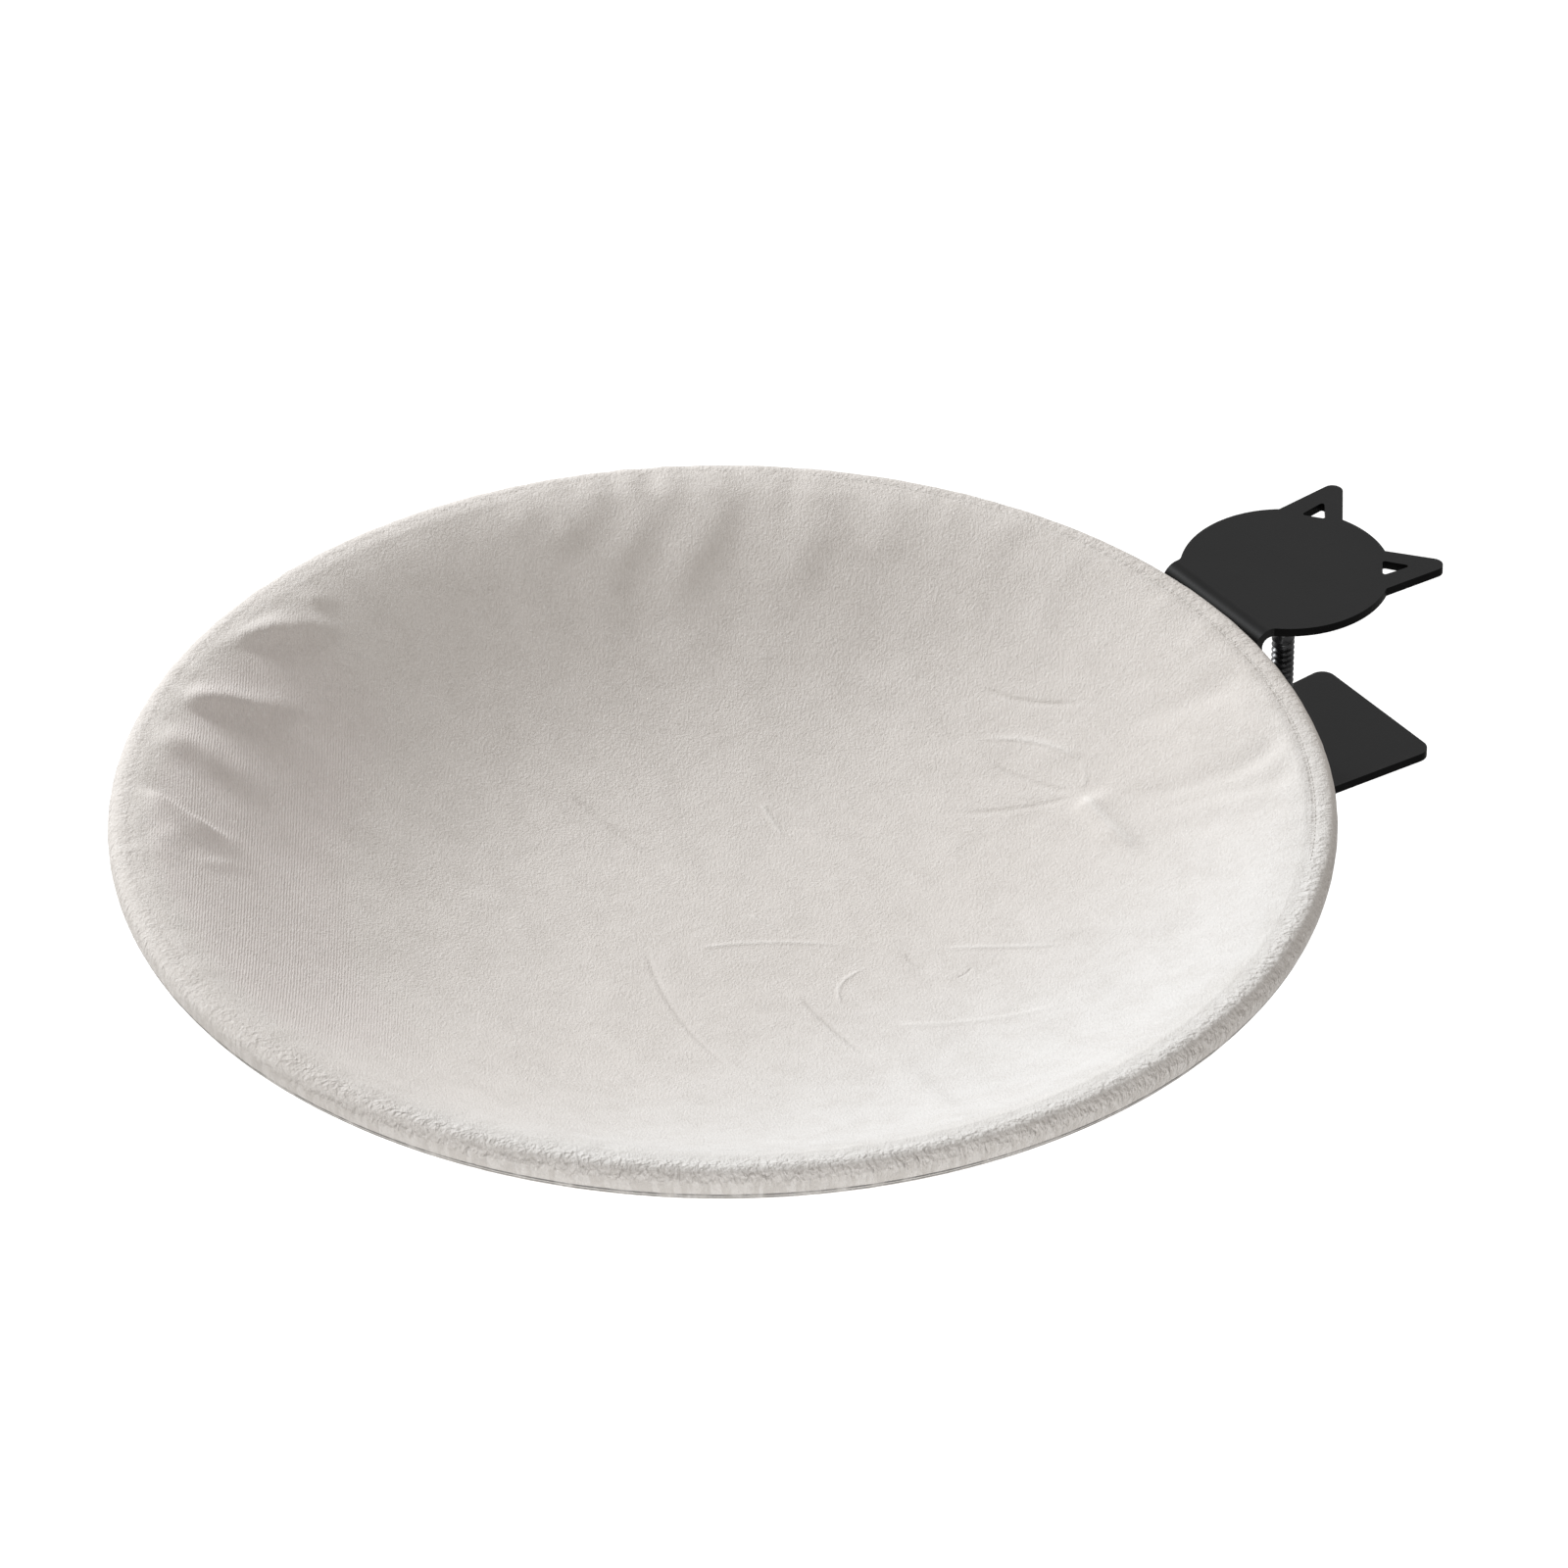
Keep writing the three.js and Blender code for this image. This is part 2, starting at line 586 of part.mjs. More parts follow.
function mountNut({ x, z }) {
  return hexNut(BOLT_NUT_ACROSS_FLATS, BOLT_NUT_HEIGHT, BOLT_DIAMETER / 2 + BOLT_HOLE_ROOM, 0)
    .rotate([90, 0, 0])
    .translate([x, BOLT_NUT_FACE, z]);
}

// Fabric sling.

// How far a point of the bowl stands off its smooth form, at an angle in degrees and a share of the hoop's radius.
function foldHeight(angle, share) {
  return FOLDS.reduce((sum, fold) => {
    const away = Math.abs(((angle - fold.angle + 540) % 360) - 180) / fold.spread;
    if (away >= 1 || share <= fold.startShare) return sum;
    const along = (share - fold.startShare) / (1 - fold.startShare);
    const across = (1 + Math.cos(Math.PI * away)) / 2;
    return sum + fold.height * across * Math.sin(Math.PI * along) ** 2;
  }, 0);
}

// Share of the bowl's depth that is climbed at a point, from 0 at its middle to 1 at its crest, where it levels out.
function bowlRise(share) {
  const wall = SLING_EDGE_POWER * share ** SLING_CURVE_POWER;
  const crest = SLING_CURVE_POWER * share ** SLING_EDGE_POWER;
  return (wall - crest) / (SLING_EDGE_POWER - SLING_CURVE_POWER);
}

// Section of the cloth as radius, height and share: from the middle of the bowl to its crest, round the bar, and
// straight up to the hem under the bowl.
function slingSection(surface) {
  const crestRadius = HOOP_RADIUS - SLING_CREST_INSET;
  const bowl = [0, ...BOWL_SHARES, 1].map((share) => [
    share * crestRadius,
    surface - SLING_DEPTH * (1 - bowlRise(share)),
    share,
  ]);
  const wrap = arcPoints([HOOP_RADIUS, 0], surface, 90, SLING_HEM_ANGLE, WRAP_STEPS);
  const [endRadius, endHeight] = wrap.at(-1);
  const hem = [
    endRadius + SLING_HEM_REACH * Math.sin(degrees(SLING_HEM_ANGLE)),
    endHeight - SLING_HEM_REACH * Math.cos(degrees(SLING_HEM_ANGLE)),
  ];
  return [...bowl, ...[...wrap, hem].map((p) => [...p, 1])];
}

// The cloth: the upper side runs out from the middle and round the bar, and the lower side runs back under it.
function slingCloth() {
  const rows = [...slingSection(SLING_OUTER_RADIUS), ...slingSection(SLING_INNER_RADIUS).reverse()];
  const positions = [];
  const faces = [];
  const ring = rows.slice(1, -1);
  ring.forEach(([radius, height, share]) => {
    for (let i = 0; i < HOOP_STEPS; i++) {
      const angle = (360 * i) / HOOP_STEPS;
      const lift = share < 1 ? foldHeight(angle, share) : 0;
      positions.push(radius * Math.cos(degrees(angle)), radius * Math.sin(degrees(angle)), height + lift);
    }
  });
  const at = (row, i) => row * HOOP_STEPS + (i % HOOP_STEPS);
  for (let row = 0; row < ring.length - 1; row++)
    for (let i = 0; i < HOOP_STEPS; i++) {
      faces.push(at(row, i), at(row + 1, i), at(row + 1, i + 1));
      faces.push(at(row, i), at(row + 1, i + 1), at(row, i + 1));
    }
  const topPole = ring.length * HOOP_STEPS;
  positions.push(0, 0, rows[0][1], 0, 0, rows.at(-1)[1]);
  for (let i = 0; i < HOOP_STEPS; i++) {
    faces.push(topPole, at(0, i), at(0, i + 1));
    faces.push(topPole + 1, at(ring.length - 1, i + 1), at(ring.length - 1, i));
  }
  return new THREE.BufferGeometry()
    .setAttribute("position", new THREE.Float32BufferAttribute(positions, 3))
    .setIndex(faces);
}

// The sling in place, with the slot in its sleeve that lets the mounting tab through.
function fabricSling() {
  const width = TAB_WIDTH + 2 * SLING_SLOT_ROOM;
  const deep = 2 * SLING_OUTER_RADIUS;
  const slotTop = TAB_TOP + SLING_SLOT_LIP;
  const slot = solid(
    new THREE.BoxGeometry(width, deep, deep).translate(
      0,
      TAB_BACK - TOUCH_GAP + deep / 2,
      slotTop - deep / 2,
    ),
  );
  return atHoop(solid(slingCloth())).subtract(slot);
}

// The object.

const BLACK_COAT = { color: "#2c2c2d", roughness: 0.55, metalness: 0.2 };
const DARK_STEEL = { color: "#4a4a4c", roughness: 0.35, metalness: 0.9 };
const ZINC_STEEL = { color: "#a3a5a6", roughness: 0.35, metalness: 0.9 };
const BLACK_RUBBER = { color: "#1b1b1c", roughness: 0.9, metalness: 0 };
const BLACK_PLASTIC = { color: "#202022", roughness: 0.5, metalness: 0 };
const CREAM_PLUSH = { color: "#e6e2dc", roughness: 0.95, metalness: 0 };

const hammock = new THREE.Group();
hammock.name = "clamp_on_desk_cat_hammock";

function add(name, shape, look) {
  const mesh = new THREE.Mesh(geometryOf(shape), new THREE.MeshStandardMaterial(look));
  mesh.name = name;
  hammock.add(mesh);
}

const weldNut = hexNut(WELD_NUT_ACROSS_FLATS, WELD_NUT_HEIGHT, SCREW_BORE_RADIUS, WELD_NUT_UNDERSIDE);
const knobNut = hexNut(
  KNOB_NUT_ACROSS_FLATS,
  KNOB_NUT_HEIGHT,
  SCREW_BORE_RADIUS,
  KNOB_WELL_CEILING - TOUCH_GAP - KNOB_NUT_HEIGHT,
);

add("clamp_bracket", clampBracket(), BLACK_COAT);
add("top_jaw_pad", topJawPad(), BLACK_RUBBER);
add("bracket_weld_nut", weldNut, BLACK_COAT);
add("support_hoop", atHoop(barRing(0)), BLACK_COAT);
add("hoop_mounting_tab", mountingTab(), BLACK_COAT);
BOLT_PLACES.forEach((place, i) => {
  add(`mount_screw_${i + 1}`, mountBolt(place), DARK_STEEL);
  add(`mount_nut_${i + 1}`, mountNut(place), ZINC_STEEL);
});
add("fabric_sling", fabricSling(), CREAM_PLUSH);
add("foot_cup", footCup(), DARK_STEEL);
add("foot_rubber", footRubber(), BLACK_RUBBER);
add("clamp_screw", clampScrew(), DARK_STEEL);
add("clamp_knob", knob(), BLACK_PLASTIC);
add("knob_lock_nut", knobNut, ZINC_STEEL);
add("knob_cap", knobCap(), BLACK_PLASTIC);

export default hammock;
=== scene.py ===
"""Looks of a clamp-on desk cat hammock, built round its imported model.

Everything is in metres in the part's own frame. The origin is the middle of the clamp's upper seat, +Z is up,
+Y points into the desk, and the hammock hangs out towards -Y.
"""

from __future__ import annotations

import logging
import math
from dataclasses import dataclass
from enum import Enum
from functools import cached_property
from typing import Optional, Sequence, Union

import bmesh
import bpy
import numpy as np
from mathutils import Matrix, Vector


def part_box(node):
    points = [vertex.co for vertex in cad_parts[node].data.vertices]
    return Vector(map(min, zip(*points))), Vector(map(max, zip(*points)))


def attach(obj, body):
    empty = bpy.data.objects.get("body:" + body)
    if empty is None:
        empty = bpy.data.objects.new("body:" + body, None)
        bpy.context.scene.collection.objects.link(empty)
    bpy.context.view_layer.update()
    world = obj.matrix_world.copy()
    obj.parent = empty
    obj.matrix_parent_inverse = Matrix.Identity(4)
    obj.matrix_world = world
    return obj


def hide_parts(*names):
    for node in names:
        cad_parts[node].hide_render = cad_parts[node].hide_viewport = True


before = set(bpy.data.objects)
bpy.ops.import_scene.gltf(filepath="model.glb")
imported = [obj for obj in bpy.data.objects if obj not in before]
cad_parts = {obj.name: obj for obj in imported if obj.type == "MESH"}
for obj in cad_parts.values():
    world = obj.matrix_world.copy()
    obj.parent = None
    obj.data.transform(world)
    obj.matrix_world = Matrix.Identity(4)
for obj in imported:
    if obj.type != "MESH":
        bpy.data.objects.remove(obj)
log = logging.getLogger("hammock")

MM = 0.001
# The cloth's UV map, and the attribute that marks cut edges.
CUT_MAP = "cloth"
CUT_EDGE = "cut_edge"
Colour = tuple[float, float, float]
Pair = tuple[float, float]
Number = Union[float, "Signal"]


class Body(str, Enum):
    """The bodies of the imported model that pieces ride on."""

    FIXED = "hammock_and_bracket"
    FOOT = "pressure_foot"
    SCREW = "screw_and_knob"


class Slot(str, Enum):
    """The record's material slots."""

    COAT = "bracket_coat"
    RUBBER = "pad_rubber"
    DARK_STEEL = "dark_steel"
    ZINC = "zinc_steel"
    PLUSH = "plush"
    KNOB = "knob_plastic"


# Shader building.


class Signal:
    """A shader output that can be used in plain arithmetic."""

    def __init__(self, tree: "ShaderTree", socket: bpy.types.NodeSocket) -> None:
        """Keeps the socket and the tree it is in."""
        self.tree = tree
        self.socket = socket

    def _math(self, operation: str, first: Number, second: Number) -> "Signal":
        """Adds one Math node.

        Args:
            operation: The node's operation.
            first: Its first value.
            second: Its second value.

        Returns:
            The node's result.
        """
        return self.tree.node("ShaderNodeMath", {"operation": operation}, {0: first, 1: second})

    def __add__(self, other: Number) -> "Signal":
        """Sum."""
        return self._math("ADD", self, other)

    __radd__ = __add__

    def __sub__(self, other: Number) -> "Signal":
        """Difference."""
        return self._math("SUBTRACT", self, other)

    def __rsub__(self, other: Number) -> "Signal":
        """Difference from a plain number."""
        return self._math("SUBTRACT", other, self)

    def __mul__(self, other: Number) -> "Signal":
        """Product."""
        return self._math("MULTIPLY", self, other)

    __rmul__ = __mul__

    def __abs__(self) -> "Signal":
        """Size without sign."""
        return self._math("ABSOLUTE", self, 0.0)

    def ramp(self, low: float, high: float, to_low: float = 0.0, to_high: float = 1.0) -> "Signal":
        """Maps the range low..high smoothly to to_low..to_high and holds it beyond."""
        values = {0: self, 1: low, 2: high, 3: to_low, 4: to_high}
        return self.tree.node("ShaderNodeMapRange", {"interpolation_type": "SMOOTHSTEP"}, values)


class ShaderTree:
    """The node tree of a material or of the world."""

    def __init__(self, owner: Union[bpy.types.Material, bpy.types.World]) -> None:
        """Empties the owner's node tree.

        Args:
            owner: The material or world whose nodes are built anew.
        """
        owner.use_nodes = True
        self.nodes = owner.node_tree.nodes
        self.links = owner.node_tree.links
        self.nodes.clear()

    def node(
        self,
        kind: str,
        settings: Optional[dict] = None,
        inputs: Optional[dict] = None,
        output: Union[int, str] = 0,
    ) -> Signal:
        """Adds one node of any kind.

        Args:
            kind: The node's type.
            settings: Properties that are set first.
            inputs: A value or a signal for each named or numbered socket.
            output: The socket that is handed back.

        Returns:
            The chosen output.
        """
        node = self.nodes.new(kind)
        for key, value in (settings or {}).items():
            setattr(node, key, value)
        for key, value in (inputs or {}).items():
            if isinstance(value, Signal):
                self.links.new(value.socket, node.inputs[key])
            else:
                node.inputs[key].default_value = value
        return Signal(self, node.outputs[output])

    def mapped(self, where: Signal, **values: Sequence[float]) -> Signal:
        """A place carried over by a Mapping node with the given Location, Rotation or Scale."""
        return self.node("ShaderNodeMapping", {"vector_type": "POINT"}, {"Vector": where, **values})

    def place(self, scale: Sequence[float] = (1, 1, 1)) -> Signal:
        """The point's place on the piece, in metres, stretched by scale."""
        return self.mapped(self.node("ShaderNodeTexCoord", output="Object"), Scale=scale)

    def vector(self, operation: str, inputs: dict, output: str = "Vector") -> Signal:
        """The result of one Vector Math node."""
        return self.node("ShaderNodeVectorMath", {"operation": operation}, inputs, output)

    def noise(
        self, where: Signal, per_metre: float, detail: float = 2.0, rough: float = 0.5, swirl: float = 0.0
    ) -> Signal:
        """Soft noise with that many cells a metre, whose cells swirl distorts."""
        values = {"Vector": where, "Scale": per_metre, "Detail": detail, "Roughness": rough, "Distortion": swirl}
        return self.node("ShaderNodeTexNoise", {"noise_dimensions": "3D"}, values)

    def seen(self) -> Signal:
        """1 for rays from the camera, from gloss and through glass, and 0 for scattered ones."""
        kinds = ("Is Camera Ray", "Is Glossy Ray", "Is Transmission Ray")
        return sum((self.node("ShaderNodeLightPath", output=kind) for kind in kinds), start=0.0).ramp(0.0, 1.0)

    def mix(self, factor: Number, low: Union[Colour, Signal], high: Union[Colour, Signal]) -> Signal:
        """A colour between two, by factor."""
        colours = [c if isinstance(c, Signal) else (*c, 1.0) for c in (low, high)]
        inputs = {0: factor, 6: colours[0], 7: colours[1]}
        return self.node("ShaderNodeMix", {"data_type": "RGBA"}, inputs, output=2)

    def parts(self, vector: Signal) -> tuple[Signal, Signal]:
        """A vector's first two parts."""
        split = self.node("ShaderNodeSeparateXYZ", None, {0: vector})
        return split, Signal(self, split.socket.node.outputs[1])

    def bump(self, height: Signal, depth: float) -> Signal:
        """A normal tilted by height, which is depth metres tall from 0 to 1."""
        return self.node("ShaderNodeBump", None, {"Height": height, "Distance": depth, "Strength": 1.0})

    def surface(self, **sockets: Union[Number, tuple, Signal]) -> None:
        """Ends the tree in a Principled shader; underscores in names stand for spaces."""
        inputs = {name.replace("_", " "): value for name, value in sockets.items()}
        self.output(self.node("ShaderNodeBsdfPrincipled", None, inputs))

    def output(self, shader: Signal, kind: str = "ShaderNodeOutputMaterial") -> None:
        """Ends the tree in the given shader."""
        end = self.nodes.new(kind)
        self.links.new(shader.socket, end.inputs["Surface"])


@dataclass(frozen=True)
class Finish:
    """A finish that is made once and shared by its pieces; the stage's own has no slot."""

    name: str
    slot: Optional[Slot] = None

    def make(self) -> bpy.types.Material:
        """The finish's material, built when it is first asked for."""
        found = bpy.data.materials.get(self.name)
        if found:
            return found
        material = bpy.data.materials.new(self.name)
        self.build(ShaderTree(material))
        return material

    def build(self, tree: ShaderTree) -> None:
        """Fills the tree. Each finish has its own."""
        raise NotImplementedError


@dataclass(frozen=True)
class PowderCoat(Finish):
    """Matte black powder coat: an even, faintly pebbled film, thin and dull on cut edges."""

    colour: Colour = (0.0035, 0.0035, 0.0036)
    roughness: float = 0.38
    pebbles_per_metre: float = 1500.0
    pebble_depth: float = 0.000045
    film: float = 0.3

    def build(self, tree: ShaderTree) -> None:
        """Black with a fine orange peel and a little unevenness in its gloss, which fades on cut edges.

        Args:
            tree: The node tree of the finish's material.
        """
        where = tree.place()
        pebbles = tree.noise(where, self.pebbles_per_metre, 2.0, 0.45)
        clouds = tree.noise(where, 60.0, 3.0)
        lighter = tuple(1.35 * c for c in self.colour)
        cut = tree.node("ShaderNodeAttribute", {"attribute_name": CUT_EDGE}, output="Fac")
        tree.surface(
            Base_Color=tree.mix(clouds.ramp(0.3, 0.75), self.colour, lighter),
            Roughness=clouds.ramp(0.25, 0.75, self.roughness - 0.04, self.roughness + 0.05),
            Specular_IOR_Level=0.03,
            Coat_Weight=(1.0 - cut) * self.film,
            Coat_Roughness=0.32,
            Normal=tree.bump(pebbles, self.pebble_depth),
        )


@dataclass(frozen=True)
class Rubber(Finish):
    """Moulded black rubber with a dull, dusty grain."""

    colour: Colour = (0.011, 0.011, 0.0115)
    dusty: Colour = (0.024, 0.024, 0.025)

    def build(self, tree: ShaderTree) -> None:
        """Nearly black, rough, with a fine grain.

        Args:
            tree: The node tree of the finish's material.
        """
        where = tree.place()
        grain = tree.noise(where, 2600.0, 3.0, 0.6)
        dust = tree.noise(where, 140.0, 4.0)
        tree.surface(
            Base_Color=tree.mix(dust.ramp(0.45, 0.8), self.colour, self.dusty),
            Roughness=dust.ramp(0.2, 0.8, 0.78, 0.92),
            Specular_IOR_Level=0.3,
            Normal=tree.bump(grain, 0.00006),
        )


@dataclass(frozen=True)
class Steel(Finish):
    """Bare or plated steel with turning marks and faint stains."""

    colour: Colour = (0.022, 0.022, 0.023)
    worn: Colour = (0.06, 0.06, 0.062)
    roughness: float = 0.3
    metal: float = 0.55

    def build(self, tree: ShaderTree) -> None:
        """Metal whose gloss follows fine rings round its axis.

        Args:
            tree: The node tree of the finish's material.
        """
        rings = tree.noise(tree.place((0.12, 0.12, 1.0)), 3200.0, 2.0)
        stains = tree.noise(tree.place(), 260.0, 4.0)
        uneven = 0.6 * rings + 0.4 * stains
        tree.surface(
            Base_Color=tree.mix(stains.ramp(0.4, 0.8), self.colour, self.worn),
            Metallic=self.metal,
            Roughness=uneven.ramp(0.3, 0.7, self.roughness - 0.08, self.roughness + 0.1),
            Normal=tree.bump(rings, 0.000012),
        )


@dataclass(frozen=True)
class Plastic(Finish):
    """Black moulded plastic with a spark-eroded grain."""

    colour: Colour = (0.0135, 0.0135, 0.0145)
    paler: Colour = (0.02, 0.02, 0.021)

    def build(self, tree: ShaderTree) -> None:
        """Satin black with a fine even grain.

        Args:
            tree: The node tree of the finish's material.
        """
        where = tree.place()
        grain = tree.noise(where, 2100.0, 3.0, 0.55)
        patches = tree.noise(where, 90.0, 2.0)
        tree.surface(
            Base_Color=tree.mix(patches.ramp(0.3, 0.8), self.colour, self.paler),
            Roughness=patches.ramp(0.3, 0.7, 0.46, 0.56),
            Specular_IOR_Level=0.4,
            Normal=tree.bump(grain, 0.00007),
        )


@dataclass(frozen=True)
class FineCrease:
    """A crease too fine for the mesh, which is relief in the plush, with painted shade in its groove and a painted
    highlight on its ridge.

    Attributes:
        path: Start, middle and end of its bent line, each an angle in degrees and a share of the bowl's radius.
        height: Its height in the plush's own unit, below 0 for a groove.
        left: How far it slopes away on the left of its way, in millimetres.
        right: The same on the right.
        ends: Shares of its length over which it rises at the start and fades at the end.
        bowl_radius: The bowl's radius in metres.
    """

    path: tuple[Pair, Pair, Pair]
    height: float
    left: float
    right: float
    ends: Pair = (0.15, 0.3)
    bowl_radius: float = 197 * MM

    def relief(self, tree: ShaderTree, flat: Signal, below: Number) -> Signal:
        """Adds the crease's height at a place of the flat cut to that of the creases below it.

        It is the height times the square of a tent across the line, which makes a sharp crest, times a ramp at each
        end. The line is the chord bent sideways by 4 t (1 - t) times the middle point's distance from it. The place
        moves by a hair with the creases below, so that they are worked out one after another.

        Args:
            tree: The tree that it is part of.
            flat: The place in metres.
            below: The height of the creases before it.

        Returns:
            The height of all of them, in the heights' own unit.
        """
        start, middle, stop = (
            self.bowl_radius * share * np.array([math.cos(math.radians(turn)), math.sin(math.radians(turn))])
            for turn, share in self.path
        )
        length = float(np.linalg.norm(stop - start))
        ux, uy = ((stop - start) / length).tolist()
        sag = float(ux * (middle - start)[1] - uy * (middle - start)[0])
        origin = (-ux * start[0] - uy * start[1], uy * start[0] - ux * start[1], 0.0)
        along, side = tree.parts(tree.mapped(flat, Location=origin, Rotation=(0, 0, -math.atan2(uy, ux))))
        along = along + below * 1e-7
        across = side - along * (length - along) * (4 * sag / length**2)
        tent = across.ramp(-self.right * MM, 0.0) * across.ramp(self.left * MM, 0.0)
        window = along.ramp(0.0, self.ends[0] * length) * along.ramp(length, (1.0 - self.ends[1]) * length)
        return tent * tent * window * self.height + below


# The star on the right of the floor, and the fine net of creases that crosses it.
FINE_CREASES = (
    FineCrease(((181.8, 0.435), (179.6, 0.299), (173.0, 0.17)), -0.8, 3.2, 3.5),
    FineCrease(((132.7, 0.342), (127.0, 0.3), (119.5, 0.263)), 0.55, 2.5, 2.5),
    FineCrease(((261.3, 0.149), (308.9, 0.288), (327.7, 0.48)), -0.6, 2.2, 2.5),
    FineCrease(((355.4, 0.25), (353.9, 0.371), (353.4, 0.529)), -0.7, 2.5, 2.5),
    FineCrease(((85.7, 0.058), (53.1, 0.073), (40.2, 0.103)), 0.5, 2, 2),
    FineCrease(((35.6, 0.329), (30.7, 0.363), (28.4, 0.401)), -0.55, 2, 2),
    FineCrease(((27.8, 0.447), (29.9, 0.456), (32.7, 0.458)), -0.5, 1.5, 1.5),
    FineCrease(((3.2, 0.322), (15.6, 0.269), (26.0, 0.289)), 0.5, 2, 2),
    FineCrease(((4.4, 0.426), (15.4, 0.562), (23.3, 0.699)), 0.65, 3, 5),
    FineCrease(((289.3, 0.088), (31.7, 0.142), (36.2, 0.242)), 0.5, 2.5, 3),
    FineCrease(((39.5, 0.386), (40.2, 0.505), (39.7, 0.626)), 0.6, 2.5, 3),
    FineCrease(((76.6, 0.664), (79.6, 0.589), (90.4, 0.472)), -0.5, 3.5, 3),
    FineCrease(((82.5, 0.707), (89.5, 0.688), (99.3, 0.62)), 0.65, 2.5, 3.5),
    FineCrease(((77.7, 0.664), (84.8, 0.622), (95.0, 0.604)), -0.6, 3, 2.5),
    FineCrease(((77.3, 0.678), (79.6, 0.697), (82.9, 0.702)), 0.4, 2.5, 2.5),
    FineCrease(((76.7, 0.672), (66.1, 0.683), (57.9, 0.727)), 0.8, 5.5, 1.8),
    FineCrease(((104.8, 0.714), (98.3, 0.725), (89.9, 0.787)), -0.6, 2.5, 2.5),
)


class Grain(Enum):
    """Noises of the plush: cells a metre, detail, roughness and swirl."""

    SWELL = (17.0, 3.0, 0.55, 0.0)
    PATCHES = (12.0, 3.0, 0.5, 0.0)
    DRIFT = (70.0, 3.0, 0.6, 0.0)
    HAIRS = (150.0, 3.0, 0.5, 2.2)
    SEAM_GAPS = (160.0, 2.0, 0.5, 0.0)
    BRUSHED = (170.0, 4.0, 0.62, 0.0)
    CLUMPS = (240.0, 2.0, 0.6, 0.0)
    TUFTS = (420.0, 3.0, 0.6, 0.0)
    SHAG = (480.0, 3.0, 0.6, 0.0)
    POCKETS = (520.0, 3.0, 0.6, 0.0)
    PILE = (1100.0, 3.0, 0.65, 0.0)
    FIBRES = (1300.0, 2.0, 0.6, 0.0)


